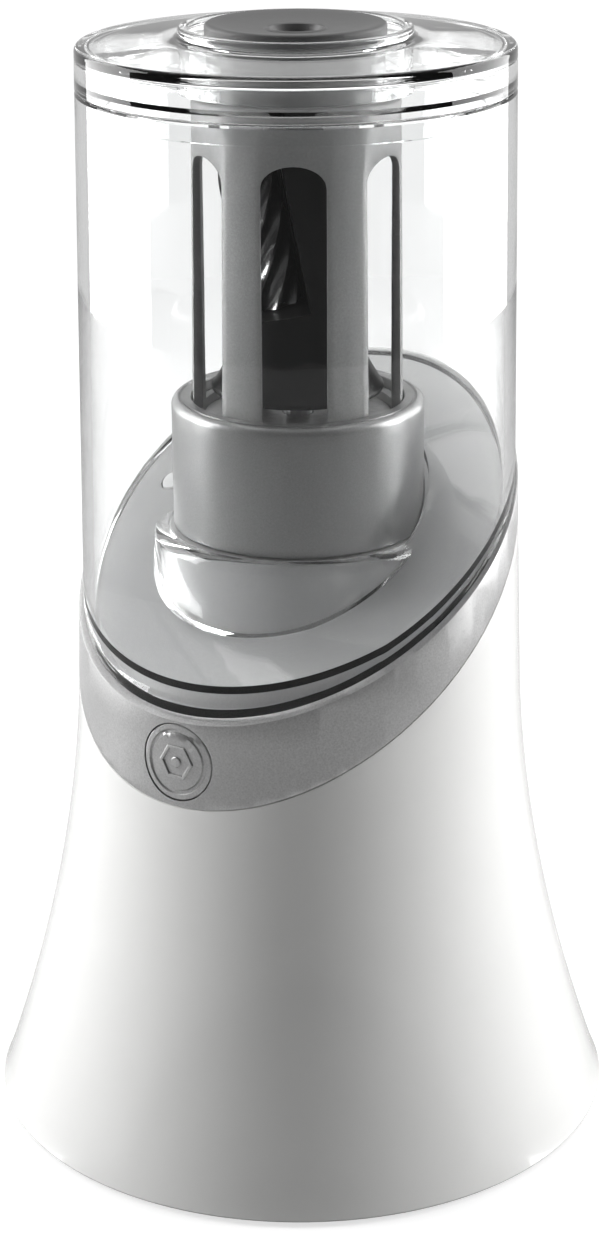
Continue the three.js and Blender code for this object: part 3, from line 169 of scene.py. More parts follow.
class TowerSettings(bpy.types.PropertyGroup):
    wall: distance("Tower wall", "Thickness of the slotted wall", 2.0 * MM)
    window_width: distance("Window width", "Width of each arched window", 12.7 * MM)
    window_arch: distance("Window arch", "Height of the rounded top of each window", 4.5 * MM)
    window_edge: distance("Window edge", "Rounding of the windows' edges", 0.22 * MM)
    windows: IntProperty(name="Windows", description="Number of windows round the tower", default=6, min=1)


class CutterSettings(bpy.types.PropertyGroup):
    radius: distance("Cutter radius", "Radius over the cutting edges", 6.0 * MM)
    length: distance("Cutter length", "Length of the fluted part", 35.0 * MM)
    flute_depth: distance("Flute depth", "Depth of each flute", 1.1 * MM)
    flutes: IntProperty(name="Flutes", description="Number of helical flutes", default=8, min=2)


class FinishSettings(bpy.types.PropertyGroup):
    white: colour("White", "Glossy housing", (0.83, 0.83, 0.82, 1.0))
    silver: colour("Silver", "Satin band and badge", grey(0.6))
    # The tower is the band's silver paint, darkened all over as painted shade from the lid and disc above
    # it.
    tower_painted_shade_grey: colour("Tower grey painted shade", "Slotted tower", grey(0.22))
    deck_grey: colour("Deck grey", "Satin deck under the clear bin", grey(0.42))
    pedestal_grey: colour("Pedestal grey", "Darker satin pedestal", grey(0.28))
    disc_grey: colour("Disc grey", "Entry disc", grey(0.085))
    carrier_black: colour("Carrier black", "Cutter carrier", grey(0.007))
    clear_tint: colour("Clear tint", "Clear bin and lid", (0.975, 0.98, 0.98, 1.0))


class StudioSettings(bpy.types.PropertyGroup):
    side_power: power("Side lights", "Power of each side softbox", 9.5)
    wing_power: power("Wing lights", "Power of each soft wing between camera and softbox", 5.2)
    top_power: power("Top light", "Power of the top softbox", 3.0)
    fill: FloatProperty(
        name="Fill", description="Brightness of the room on the camera's side", default=0.1, min=0.0
    )


# ---- Mesh helpers ----


def new_object(name, data):
    made = bpy.data.objects.new(name, data)
    bpy.context.scene.collection.objects.link(made)
    return made


def everything(bm):
    return bm.verts[:] + bm.edges[:] + bm.faces[:]


def face_outwards(bm):
    bmesh.ops.recalc_face_normals(bm, faces=bm.faces)


def finished(bm, name, smooth_below=32):
    """An object at the origin from a bmesh, smooth except where faces meet at more than an angle."""
    mesh = bpy.data.meshes.new(name)
    bm.to_mesh(mesh)
    bm.free()
    piece = new_object(name, mesh)
    shade(piece, smooth_below)
    return piece


def shade(piece, smooth_below=32):
    piece.data.shade_smooth()
    piece.data.set_sharp_from_angle(angle=math.radians(smooth_below))


def spin_outline(points, steps=ROUND, closed=True):
    """A turned body from its outline of (radius, height) points."""
    bm = bmesh.new()
    verts = [bm.verts.new((r, 0, z)) for r, z in points]
    edges = [bm.edges.new(pair) for pair in zip(verts, verts[1:])]
    if closed:
        edges.append(bm.edges.new((verts[-1], verts[0])))
    bmesh.ops.spin(
        bm, geom=verts + edges, cent=(0, 0, 0), axis=(0, 0, 1), angle=2 * math.pi, steps=steps,
        use_merge=True,
    )
    bmesh.ops.remove_doubles(bm, verts=bm.verts, dist=SAME_POINT)
    bmesh.ops.dissolve_degenerate(bm, edges=bm.edges, dist=NO_LENGTH)
    face_outwards(bm)
    return bm


def rounded(corner, radius, start, end, steps=6):
    """Points of a rounding about a centre, from one angle to another in degrees."""
    angles = [math.radians(start + (end - start) * i / steps) for i in range(steps + 1)]
    return [(corner[0] + radius * math.cos(a), corner[1] + radius * math.sin(a)) for a in angles]


def offsets(radius, height, *pairs):
    """Points of an outline, each given in millimetres out and up from a radius and a height."""
    return [(radius + out * MM, height + up * MM) for out, up in pairs]


def stations(start, end, count):
    """Points from start to end, without the last."""
    return [tuple(a + (b - a) * i / count for a, b in zip(start, end)) for i in range(count)]


def ring_count(edges):
    """How many closed rings a set of edges makes."""
    left, rings = set(edges), 0
    while left:
        rings += 1
        reached = [left.pop()]
        while reached:
            near = {e for v in reached.pop().verts for e in v.link_edges if e in left}
            left -= near
            reached.extend(near)
    return rings


def slice_off(bm, height, slope, keep_below=True):
    """Cuts along the plane z = height + slope * y, closes the cut and returns its edges."""
    normal = Vector((0, -slope, 1)).normalized()
    cut = bmesh.ops.bisect_plane(
        bm, geom=everything(bm), dist=SAME_POINT, plane_co=(0, 0, height),
        plane_no=normal, clear_outer=keep_below, clear_inner=not keep_below,
    )["geom_cut"]
    rim = [g for g in cut if isinstance(g, bmesh.types.BMEdge) and g.is_boundary]
    if ring_count(rim) == 1:
        bmesh.ops.contextual_create(bm, geom=rim)
    else:
        bmesh.ops.bridge_loops(bm, edges=rim)
    return [e for e in rim if e.is_valid]


def soften(bm, edges, width, segments=3):
    bmesh.ops.bevel(
        bm, geom=edges, offset=width, offset_type="OFFSET", segments=segments, profile=0.5,
        affect="EDGES", clamp_overlap=True, material=-1,
    )


def combine(piece, tool_mesh, operation):
    """A boolean of a piece with a closed bmesh, cleaned afterwards."""
    tool = finished(tool_mesh, "tool")
    change = piece.modifiers.new("combine", "BOOLEAN")
    change.operation = operation
    change.solver = "EXACT"
    change.object = tool
    bpy.context.view_layer.update()
    graph = bpy.context.evaluated_depsgraph_get()
    made = bpy.data.meshes.new_from_object(piece.evaluated_get(graph))
    if not made.polygons:
        raise RuntimeError(f"{piece.name}: the {operation.lower()} left nothing")
    bm = bmesh.new()
    bm.from_mesh(made)
    bmesh.ops.remove_doubles(bm, verts=bm.verts, dist=CRUMB)
    bmesh.ops.dissolve_degenerate(bm, edges=bm.edges, dist=CRUMB)
    face_outwards(bm)
    bm.to_mesh(made)
    bm.free()
    old = piece.data
    piece.modifiers.clear()
    piece.data = made
    made.name = piece.name
    bpy.data.meshes.remove(old)
    bpy.data.objects.remove(tool)
    shade(piece)
    return piece


def join(piece, *tools):
    for tool in tools:
        combine(piece, tool, "UNION")


def cut(piece, *tools):
    for tool in tools:
        combine(piece, tool, "DIFFERENCE")


def column(radius, bottom, top, steps=ROUND, x=0.0, y=0.0, phase=0.5):
    """A closed upright cylinder with plain ends, turned by a share of one step."""
    bm = bmesh.new()
    bmesh.ops.create_cone(
        bm, cap_ends=True, segments=steps, radius1=radius, radius2=radius, depth=top - bottom
    )
    bmesh.ops.rotate(bm, verts=bm.verts, matrix=Matrix.Rotation(2 * math.pi * phase / steps, 3, "Z"))
    bmesh.ops.translate(bm, verts=bm.verts, vec=(x, y, (top + bottom) / 2))
    return bm


def column_along_y(radius, steps, y, z):
    """A closed cylinder that lies along Y, with its middle at y and z."""
    bm = bmesh.new()
    bmesh.ops.create_cone(
        bm, cap_ends=True, segments=steps, radius1=radius, radius2=radius, depth=30 * MM
    )
    bmesh.ops.rotate(bm, verts=bm.verts, matrix=Matrix.Rotation(math.pi / 2, 3, "X"))
    bmesh.ops.translate(bm, verts=bm.verts, vec=(0, y, z))
    return bm


def crease_height(y, lift):
    """Height of the creased floor surface, raised by a lift."""
    level = BAND_TOP + 1.3 * MM + lift
    beyond = level + (DECK_SLOPE - CREASE_SLOPE) * CREASE_Y + CREASE_SLOPE * y
    return max(level + DECK_SLOPE * y, beyond)


def creased_slab(radius, top_lift, bottom_at):
    """A round slab whose top follows the crease and whose underside follows a function of y."""
    bm = column(radius, BAND_TOP - BLANK_HALF, BAND_TOP + BLANK_HALF)
    bmesh.ops.bisect_plane(
        bm, geom=everything(bm), dist=SAME_POINT,
        plane_co=(0, CREASE_Y, 0), plane_no=(0, 1, 0),
    )
    for v in bm.verts:
        v.co.z = crease_height(v.co.y, top_lift) if v.co.z > BAND_TOP else bottom_at(v.co.y)
    face_outwards(bm)
    return bm


def sharpen_floor(piece):
    """Keeps the two planes of the creased floor flat, with a clean line between them and round them."""
    planes = [Vector((0, -slope, 1)).normalized() for slope in (DECK_SLOPE, CREASE_SLOPE)]
    bm = bmesh.new()
    bm.from_mesh(piece.data)

    def plane_of(face):
        for i, normal in enumerate(planes):
            if abs(face.normal.dot(normal)) > IN_PLANE:
                return i
        return None

    found = {f: plane_of(f) for f in bm.faces}
    for f, plane in found.items():
        f.smooth = plane is None
    for e in bm.edges:
        if len(e.link_faces) == 2 and len({found[f] for f in e.link_faces}) == 2:
            e.smooth = False
    bm.to_mesh(piece.data)
    bm.free()


def put(piece, body, slot, material, *nodes):
    """Gives a finished piece its material and body, and hides the CAD nodes it stands for. The slot is not
    used.
    """
    piece.data.materials.clear()
    piece.data.materials.append(bpy.data.materials[material])
    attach(piece, body)
    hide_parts(*nodes)
    return piece


# ---- Material helpers ----


def set_socket(tree, socket, value):
    """Links another node's output to a socket, or sets the socket's own value."""
    if isinstance(value, bpy.types.NodeSocket):
        tree.links.new(value, socket)
    else:
        socket.default_value = value


def add(tree, kind, **inputs):
    """A shader node of a kind, with its inputs set, by name or by number after an underscore."""
    made = tree.nodes.new("ShaderNode" + kind)
    for key, value in inputs.items():
        socket = made.inputs[int(key[1:]) if key[0] == "_" else key.replace("_", " ")]
        set_socket(tree, socket, value)
    return made


def maths(tree, operation, *values):
    made = tree.nodes.new("ShaderNodeMath")
    made.operation = operation
    for socket, value in zip(made.inputs, values):
        set_socket(tree, socket, value)
    return made.outputs[0]


def clamped(tree, value):
    return maths(tree, "MINIMUM", maths(tree, "MAXIMUM", value, 0.0), 1.0)


def between(tree, value, low_out, high_out, low_in=0.0, high_in=1.0):
    """A value carried over from one range to another."""
    made = add(tree, "MapRange", Value=value, From_Min=low_in, From_Max=high_in,
               To_Min=low_out, To_Max=high_out)
    return made.outputs["Result"]


def blend_colour(tree, share, first, second):
    made = tree.nodes.new("ShaderNodeMix")
    made.data_type = "RGBA"
    for name, kind, value in (("Factor", "VALUE", share), ("A", "RGBA", first), ("B", "RGBA", second)):
        socket = next(s for s in made.inputs if s.name == name and s.type == kind)
        set_socket(tree, socket, value)
    return next(s for s in made.outputs if s.type == "RGBA")


def noise(tree, where, scale, detail, roughness=0.5):
    """A noise texture's value."""
    made = add(tree, "TexNoise", Vector=where, Scale=scale, Detail=detail, Roughness=roughness)
    return made.outputs[0]


def object_place(tree):
    return tree.nodes.new("ShaderNodeTexCoord").outputs["Object"]


def empty_tree(owner):
    """The node tree of a new material or world, with nothing in it."""
    owner.use_nodes = True
    owner.node_tree.nodes.clear()
    return owner.node_tree


def group_tree(name, output, *inputs):
    """A node group with a Vector, the given (name, default) inputs and one output."""
    tree = bpy.data.node_groups.new(name, "ShaderNodeTree")
    tree.interface.new_socket(name="Vector", in_out="INPUT", socket_type="NodeSocketVector")
    for socket, default in inputs:
        made = tree.interface.new_socket(name=socket, in_out="INPUT", socket_type="NodeSocketFloat")
        made.default_value = default
    tree.interface.new_socket(name=output, in_out="OUTPUT", socket_type="NodeSocketFloat")
    return tree, tree.nodes.new("NodeGroupInput").outputs, tree.nodes.new("NodeGroupOutput").inputs


def build_groups():
    """Effects that several finishes share."""
    tree, given, result = group_tree("Fine Grain", "Height", ("Scale", 2000.0), ("Sharpness", 0.5))
    fine = noise(tree, given["Vector"], given["Scale"], 3.0)
    cells = add(tree, "TexVoronoi", Vector=given["Vector"], Scale=given["Scale"])
    soft = maths(tree, "MULTIPLY", cells.outputs["Distance"], given["Sharpness"])
    tree.links.new(maths(tree, "ADD", fine, soft), result["Height"])

    tree, given, result = group_tree("Handling Marks", "Mask", ("Scale", 30.0), ("Contrast", 1.0))
    broad = noise(tree, given["Vector"], given["Scale"], 5.0, 0.6)
    centred = maths(tree, "SUBTRACT", broad, 0.5)
    spread = maths(tree, "MULTIPLY_ADD", centred, maths(tree, "MULTIPLY", given["Contrast"], 3.0), 0.5)
    tree.links.new(clamped(tree, spread), result["Mask"])

    tree, given, result = group_tree("Edge Wear", "Mask", ("Scale", 400.0), ("Start", 0.53))
    point = tree.nodes.new("ShaderNodeNewGeometry").outputs["Pointiness"]
    chips = noise(tree, given["Vector"], given["Scale"], 3.0)
    edge = maths(tree, "MULTIPLY", maths(tree, "SUBTRACT", point, given["Start"]), 12.0)
    worn = maths(tree, "MULTIPLY", edge, between(tree, chips, 0.2, 1.2, 0.3, 0.7))
    tree.links.new(clamped(tree, worn), result["Mask"])

    tree, given, result = group_tree("Turning Lines", "Height", ("Scale", 900.0))
    split = add(tree, "SeparateXYZ", Vector=given["Vector"])
    squares = [maths(tree, "POWER", split.outputs[i], 2.0) for i in range(2)]
    from_axis = maths(tree, "SQRT", maths(tree, "ADD", *squares))
    along = add(tree, "CombineXYZ", X=from_axis, Z=split.outputs[2])
    lines = noise(tree, along.outputs[0], given["Scale"], 2.0)
    tree.links.new(lines, result["Height"])


def place_group(tree, name, **inputs):
    made = tree.nodes.new("ShaderNodeGroup")
    made.node_tree = bpy.data.node_groups[name]
    for key, value in inputs.items():
        set_socket(tree, made.inputs[key], value)
    return made.outputs[0]


def finish_material(name, base, roughness, metallic=0.0, ior=1.5, coat=0.0, coat_roughness=0.05,
                    grain=0.2, grain_scale=2500.0, grain_depth=0.00005, turned=0.0, vary=0.04,
                    speckle=0.0, wear=0.3, worn_colour=None):
    """A procedural finish. roughness is a range, turned is the scale of its turning lines."""
    tree = empty_tree(bpy.data.materials.new(name))
    where = object_place(tree)
    marks = place_group(tree, "Handling Marks", Vector=where, Scale=35.0, Contrast=1.0)
    height = specks = place_group(tree, "Fine Grain", Vector=where, Scale=grain_scale, Sharpness=0.3)
    edges = place_group(tree, "Edge Wear", Vector=where, Start=0.54)
    base = Vector(base[:3])
    darker = (*(base * (1 - vary)), 1)
    lighter = (*[min(1.0, c * (1 + vary)) for c in base], 1)
    tone = blend_colour(tree, marks, darker, lighter)
    if speckle:
        dots = between(tree, specks, 0.0, 1.0, 0.35, 0.85)
        tone = blend_colour(tree, dots, (*(base * (1 - speckle)), 1), tone)
    tone = blend_colour(tree, maths(tree, "MULTIPLY", edges, wear), tone, worn_colour or lighter)
    if turned:
        lines = place_group(tree, "Turning Lines", Vector=where, Scale=turned)
        height = maths(tree, "ADD", maths(tree, "MULTIPLY", lines, 1.5), specks)
    bump = add(tree, "Bump", Strength=grain, Distance=grain_depth, Height=height)
    shader = add(tree, "BsdfPrincipled", Base_Color=tone, Metallic=metallic, IOR=ior,
                 Roughness=between(tree, marks, *roughness), Coat_Weight=coat,
                 Coat_Roughness=coat_roughness, Normal=bump.outputs[0])
    add(tree, "OutputMaterial", Surface=shader.outputs[0])


def clear_material(name, tint):
    """Clear moulded plastic. Light from the lamps passes straight through it."""
    tree = empty_tree(bpy.data.materials.new(name))
    where = object_place(tree)
    marks = place_group(tree, "Handling Marks", Vector=where, Scale=28.0, Contrast=0.8)
    flow = noise(tree, where, 45.0, 2.0)
    bump = add(tree, "Bump", Strength=0.12, Distance=0.0004, Height=flow)
    lighter = (*[min(1.0, c * 1.015) for c in tint[:3]], 1)
    tone = blend_colour(tree, marks, tuple(tint), lighter)
    shader = add(tree, "BsdfPrincipled", Base_Color=tone, Metallic=0.0, IOR=1.49,
                 Roughness=between(tree, marks, 0.0, 0.03), Transmission_Weight=1.0,
                 Normal=bump.outputs[0])
    lamps = tree.nodes.new("ShaderNodeLightPath").outputs["Is Shadow Ray"]
    through = add(tree, "BsdfTransparent", Color=(0.93, 0.93, 0.93, 1))
    both = add(tree, "MixShader", _0=lamps, _1=shader.outputs[0], _2=through.outputs[0])
    add(tree, "OutputMaterial", Surface=both.outputs[0])


def build_materials(colours):
    build_groups()
    finish_material("glossy white", colours.white, (0.16, 0.24), coat=0.9, coat_roughness=0.03,
                    grain=0.05, grain_scale=350.0, grain_depth=0.00008, vary=0.012, wear=0.15)
    finish_material("satin silver", colours.silver, (0.34, 0.44), metallic=0.85, grain=0.5,
                    grain_scale=2600.0, grain_depth=0.00003, vary=0.05, speckle=0.22, wear=0.6,
                    worn_colour=grey(0.8))
    # Painted shade: the tower's silver paint is darkened all over to stand in for the shade under the lid
    # and disc.
    finish_material("tower grey", colours.tower_painted_shade_grey, (0.38, 0.46), metallic=0.3, grain=0.4,
                    grain_scale=2600.0, grain_depth=0.00003, vary=0.05, speckle=0.18, wear=0.7,
                    worn_colour=grey(0.62))
    finish_material("satin deck grey", colours.deck_grey, (0.3, 0.38), metallic=0.35, grain=0.3,
                    grain_scale=2600.0, grain_depth=0.00002, speckle=0.1, wear=0.4,
                    worn_colour=grey(0.6))
    finish_material("satin pedestal grey", colours.pedestal_grey, (0.28, 0.36), metallic=0.85,
                    grain=0.35, grain_scale=3000.0, grain_depth=0.00002, vary=0.05, speckle=0.15,
                    wear=0.5, worn_colour=grey(0.6))
    finish_material("dark grey plastic", colours.disc_grey, (0.42, 0.55), grain=0.35,
                    grain_scale=1500.0, vary=0.1, wear=0.2)
    finish_material("black plastic", colours.carrier_black, (0.32, 0.42), ior=1.33, grain=0.05,
                    grain_scale=5000.0, grain_depth=0.00001, vary=0.12, wear=0.2,
                    worn_colour=grey(0.03))
    finish_material("ground tool steel", grey(0.3), (0.18, 0.32), metallic=1.0, grain=0.4,
                    grain_scale=2200.0, grain_depth=0.00003, vary=0.15, wear=0.8,
                    worn_colour=grey(0.8))
    turned = {"metallic": 1.0, "grain": 0.3, "grain_depth": 0.00003, "turned": 1400.0, "vary": 0.1}
    finish_material("steel", grey(0.55), (0.25, 0.38), **turned)
    finish_material("brass", (0.72, 0.5, 0.22, 1), (0.28, 0.4), **turned)
    finish_material("white nylon", grey(0.7), (0.45, 0.6), grain=0.3, grain_scale=900.0)
    finish_material("green board", (0.02, 0.12, 0.05, 1), (0.3, 0.45), grain=0.4,
                    grain_scale=1200.0, vary=0.2, speckle=0.2)
    finish_material("rubber", grey(0.015), (0.75, 0.9), grain=0.6, grain_scale=1400.0, vary=0.2)
    finish_material("red lead", (0.35, 0.02, 0.015, 1), (0.4, 0.55), vary=0.1)
    finish_material("black lead", grey(0.02), (0.4, 0.55), vary=0.1)
    clear_material("clear plastic", colours.clear_tint)


# ---- Housing: flared base, band, badge, deck ----


def outside_outline(inset, bottom, top, steps=44):
    """Points up the outside of the base, through its flare and waist, moved inwards by an inset."""
    flare_top = BAND_TOP - 30.8 * MM
    knee = Vector((waist_radius(52 * MM), 0, 52 * MM))
    start = Vector((BASE_RADIUS, 0, BASE_FOOT))
    end = Vector((waist_radius(flare_top), 0, flare_top))
    # The flare is a quadratic curve, given here as the cubic that equals it.
    handles = start.lerp(knee, 2 / 3), end.lerp(knee, 2 / 3)
    curve = geometry.interpolate_bezier(start, *handles, end, steps + 1)
    points = [(p.x - inset, p.z) for p in curve if bottom <= p.z < top]
    last = (waist_radius(top) - inset, top)
    return [*points, *stations(points[-1], last, 8)[1:], last]


def outside_at(z):
    points = outside_outline(0, BASE_FOOT, BLANK_TOP, 200)
    return next(r for r, h in points if h >= z)


def build_base(s):
    outer = outside_outline(0, BASE_FOOT, BLANK_TOP)
    inner = outside_outline(s.wall, BASE_FOOT, BLANK_TOP)
    foot = rounded((outer[0][0] - 0.7 * MM, BASE_FOOT + 0.7 * MM), 0.7 * MM, -90, -10, 5)
    outer = [p for p in outer if p[1] > BASE_FOOT + 0.9 * MM]
    bm = spin_outline(foot + outer + list(reversed(inner)))
    rim = slice_off(bm, BAND_TOP - BAND_HEIGHT - s.groove, BAND_EDGE_SLOPE)
    soften(bm, rim, s.edge_round)
    piece = finished(bm, "flared_base")
    spigot = outside_outline(s.band_wall + s.groove, SPIGOT_FOOT, BLANK_TOP)
    back = [(r - 2.9 * MM, z) for r, z in reversed(spigot)]
    bm = spin_outline(spigot + back)
    slice_off(bm, DECK_UNDER - s.groove, DECK_SLOPE)
    join(piece, bm)
    cut(piece, column_along_y(JACK_HOLE, 48, BASE_RADIUS - 5 * MM, JACK_HEIGHT))
    return put(piece, "base", "white_gloss", "glossy white", "base_shell")


def badge_height(s):
    return BAND_TOP - DECK_SLOPE * outside_at(BAND_TOP - 30 * MM) - 0.8 * MM - s.badge_radius


def build_band(s):
    outer = outside_outline(0, SPIGOT_FOOT, BLANK_TOP)
    inner = outside_outline(s.band_wall, SPIGOT_FOOT, BLANK_TOP)
    bm = spin_outline(outer + list(reversed(inner)), 2 * ROUND)
    upper = slice_off(bm, BAND_TOP, DECK_SLOPE)
    lower = slice_off(bm, BAND_TOP - BAND_HEIGHT, BAND_EDGE_SLOPE, keep_below=False)
    soften(bm, [e for e in upper + lower if e.is_valid], s.edge_round)
    piece = finished(bm, "silver_band")
    cut(piece, column_along_y(s.badge_radius + 0.25 * MM, BADGE_STEPS, -45 * MM, badge_height(s)))
    put(piece, "base", "silver_paint", "satin silver", "trim_band")


def build_badge(s):
    """The badge is turned flat, then laid on the band's surface."""
    depth = s.badge_relief
    r = s.badge_radius
    ring = 0.8 * r
    bevel, sunk = 0.15 * MM, -0.3 * MM
    bm = spin_outline([
        *stations((0, 0), (ring - 0.5 * MM, 0), 8),
        (ring - 0.5 * MM, 0),
        (ring - 0.25 * MM, -depth),
        (ring + 0.25 * MM, -depth),
        (ring + 0.5 * MM, 0),
        *rounded((r - 0.3 * MM, -0.3 * MM), 0.3 * MM, 90, 0, 4),
        (r, -s.band_wall),
        (0, -s.band_wall),
    ], BADGE_STEPS, closed=False)
    # A plain hexagon round a dot, like the end of a pencil.
    for outside, inside, sides in ((3.9 * MM, 3.1 * MM, 6), (1.1 * MM, 0, 32)):
        mark = [(inside, sunk), (outside, sunk), (outside, depth * 0.6), (outside - bevel, depth),
                (inside + bevel if inside else 0, depth)]
        if inside:
            mark.append((inside, depth * 0.6))
        tool = spin_outline(mark, sides, closed=bool(inside))
        mesh = bpy.data.meshes.new("mark")
        tool.to_mesh(mesh)
        tool.free()
        bm.from_mesh(mesh)
        bpy.data.meshes.remove(mesh)
    middle = badge_height(s)
    for v in bm.verts:
        x, z, out = v.co.x, v.co.y + middle, v.co.z
        surface = math.sqrt(outside_at(z) ** 2 - x**2)
        v.co = (x, -(surface + out), z)
    face_outwards(bm)
    badge = finished(bm, "front_badge")
    put(badge, "base", "badge_metal", "satin silver", "badge")


def build_deck(s):
    plateau = bin_radius(DECK_BACK) - 2.8 * MM
    flange_radius = waist_radius(DECK_BACK + 12 * MM) - s.band_wall - s.groove
    slab = creased_slab(plateau, 0, lambda y: DECK_UNDER + DECK_SLOPE * y)
    piece = finished(slab, "slanted_deck")
    bm = column(flange_radius, BAND_TOP - BLANK_HALF, BAND_TOP + BLANK_HALF)
    for v in bm.verts:
        above = v.co.z > BAND_TOP
        v.co.z = (BAND_TOP - s.groove if above else DECK_UNDER) + DECK_SLOPE * v.co.y
    join(piece, bm)
    boss = PEDESTAL_RADIUS + BOSS_GAP - 0.5 * MM
    seat = PEDESTAL_FOOT - s.groove
    # The phases keep the facets of the boss and its rest off each other's edges.
    bm = column(boss, CUT_FOOT, seat, phase=0.25)
    slice_off(bm, DECK_UNDER + 0.5 * MM, DECK_SLOPE, keep_below=False)
    join(piece, bm)
    join(piece, column(boss - 0.5 * MM, seat - 3 * MM, seat - 0.5 * MM, phase=0.0))
    cut(
        piece,
        column(PEDESTAL_RADIUS + s.groove, seat, seat + 60 * MM),
        column(PEDESTAL_BORE, CUT_FOOT, CUT_TOP, SMALL_ROUND),
    )
    low_corner, high_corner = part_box("interlock_plunger")
    x, y = (low_corner.x + high_corner.x) / 2, (low_corner.y + high_corner.y) / 2
    cut(piece, column(2.3 * MM, CUT_FOOT, CUT_TOP, 32, x, y))
    sharpen_floor(piece)
    return put(piece, "base", "white_gloss", "satin deck grey", "deck")


# ---- Tower: pedestal, slotted tower, entry disc ----


def build_pedestal():
    rim, foot, radius = PEDESTAL_RIM, PEDESTAL_FOOT, PEDESTAL_RADIUS
    inner = TOWER_RADIUS + 0.3 * MM
    outline = [
        (PEDESTAL_BORE, foot),
        *offsets(radius, foot, (-0.5, 0), (0, 0.5)),
        *stations((radius, foot + 0.6 * MM), (radius, rim - 1.8 * MM), 10),
        *rounded((radius - 1.6 * MM, rim - 1.6 * MM), 1.6 * MM, 0, 84, 10),
        *offsets(radius, rim, (-1.75, -0.35), (-2.05, -0.35), (-2.15, 0)),
        (inner + 0.2 * MM, rim),
        (inner, rim - 0.2 * MM),
        (inner, foot + 3 * MM),
        (PEDESTAL_BORE, foot + 3 * MM),
    ]
    piece = finished(spin_outline(outline), "tower_pedestal")
    return put(piece, "base", "grey_paint", "satin pedestal grey", "pedestal")


def build_tower(s):
    taper, corner = 0.7 * MM, 1.2 * MM
    head = TOWER_RADIUS - taper
    inside_top = head - s.wall + 0.5 * MM
    inside_foot = TOWER_RADIUS - s.wall
    neck, neck_inner, neck_top = 17.7 * MM, 15.5 * MM, TOP - 3.9 * MM
    window_low = PEDESTAL_RIM - 2 * MM
    spring = SHOULDER - 10.7 * MM - s.window_arch
    sector = 2 * math.pi / s.windows
    # Steps over one sector: shares of half the window's width, then equal steps over the pillar.
    half = [0.0, 0.2, 0.4, 0.58, 0.74, 0.87, 0.96, 1.0]
    window = [-v for v in reversed(half[1:])] + half
    pillar = 6
    columns = len(window) - 1 + pillar

    def outer_at(z):
        if z <= PEDESTAL_RIM:
            return TOWER_RADIUS
        return TOWER_RADIUS - taper * (z - PEDESTAL_RIM) / (SHOULDER - corner - PEDESTAL_RIM)

    def inner_at(z):
        return inside_foot + (inside_top - inside_foot) * (z - TOWER_FOOT) / (ROOF - TOWER_FOOT)

    between_rows = [window_low + (spring - window_low) * i / 12 for i in range(1, 12)]
    rows = [TOWER_FOOT, window_low, *between_rows, spring, SHOULDER - 4 * MM]
    outline = [(outer_at(z), z) for z in rows]
    outline += rounded((head - corner, SHOULDER - corner), corner, 0, 90, 6)
    outline += [(neck + 0.4 * MM, SHOULDER), (neck, SHOULDER + 0.4 * MM), (neck, neck_top - 0.2 * MM),
                (neck - 0.2 * MM, neck_top), (neck_inner, neck_top), (neck_inner, ROOF)]
    outline += [(inner_at(z), z) for z in [ROOF, *reversed(rows)]]
    bm = spin_outline(outline, columns * s.windows)

    # Each step of the turning is moved to the windows' own spacing, and the arches are shaped.
    step = 2 * math.pi / (columns * s.windows)
    same_height = 1e-6
    sector_of, station_of, row_of = {}, {}, {}
    for v in bm.verts:
        radius = math.hypot(v.co.x, v.co.y)
        place = round((math.atan2(v.co.y, v.co.x) % (2 * math.pi)) / step) % (columns * s.windows)
        k, i = divmod(place, columns)
        sector_of[v], station_of[v], row_of[v] = k, i, v.co.z
        edge = math.asin(s.window_width / 2 / radius)
        if i < len(window):
            angle = (k + 0.5) * sector + math.asin(s.window_width / 2 * window[i] / radius)
            if abs(v.co.z - spring) < same_height:
                v.co.z += s.window_arch * math.sqrt(max(0.0, 1 - window[i] ** 2))
        else:
            share = (i - len(window) + 1) / pillar
            angle = (k + 0.5) * sector + edge + (sector - 2 * edge) * share
        angle -= math.pi / 2  # a pillar faces the front
        v.co.x, v.co.y = radius * math.cos(angle), radius * math.sin(angle)

    def in_window(v):
        return (station_of[v] < len(window)
                and window_low - same_height < row_of[v] < spring + same_height)

    openings = [f for f in bm.faces if all(in_window(v) for v in f.verts)]
    bmesh.ops.delete(bm, geom=openings, context="FACES")
    rims = [e for e in bm.edges if e.is_boundary]
    for k in range(s.windows):
        bmesh.ops.bridge_loops(bm, edges=[e for e in rims if sector_of[e.verts[0]] == k])
    soften(bm, rims, s.window_edge, 2)
    face_outwards(bm)
    piece = finished(bm, "slotted_tower")
    # The darker tower grey is painted shade over the tower's silver paint.
    return put(piece, "base", "silver_paint", "tower grey", "guide_tower")


def build_disc():
    r, top, under = DISC_RADIUS, TOP, TOP - 3.6 * MM
    tube_low = low("entry_disc", 2)
    outline = [
        (4.1 * MM, tube_low),
        (6.1 * MM, tube_low),
        (6.1 * MM, under),
        *offsets(r, under, (-0.3, 0), (0, 0.3)),
        *stations((r, under + 0.5 * MM), (r, top - 0.9 * MM), 2),
        *rounded((r - 0.8 * MM, top - 0.8 * MM), 0.8 * MM, 0, 90, 6),
        *offsets(r, top, (-1.6, -0.06), (-3.0, -0.36), (-5.5, -0.86), (-8.5, -1.2)),
        *offsets(0, top, (6.3, -1.34), (6.05, -1.15), (5.75, -1.05), (5.4, -1.2), (5.1, -1.7)),
        *offsets(0, top, (4.5, -2.6), (4.1, -3.6)),
    ]
    piece = finished(spin_outline(outline), "pencil_disc")
    return put(piece, "base", "dark_grey_plastic", "dark grey plastic", "entry_disc")


# ---- Cutter head ----

TILT = math.radians(11)
AZIMUTH = math.radians(-145)
TIP = SHOULDER - 35 * MM
APEX = TIP - 6 * MM / math.sin(TILT)
CUTTER_PLACE = (
    Matrix.Translation((0, 0, APEX)) @ Matrix.Rotation(AZIMUTH, 4, "Z") @ Matrix.Rotation(TILT, 4, "Y")
)
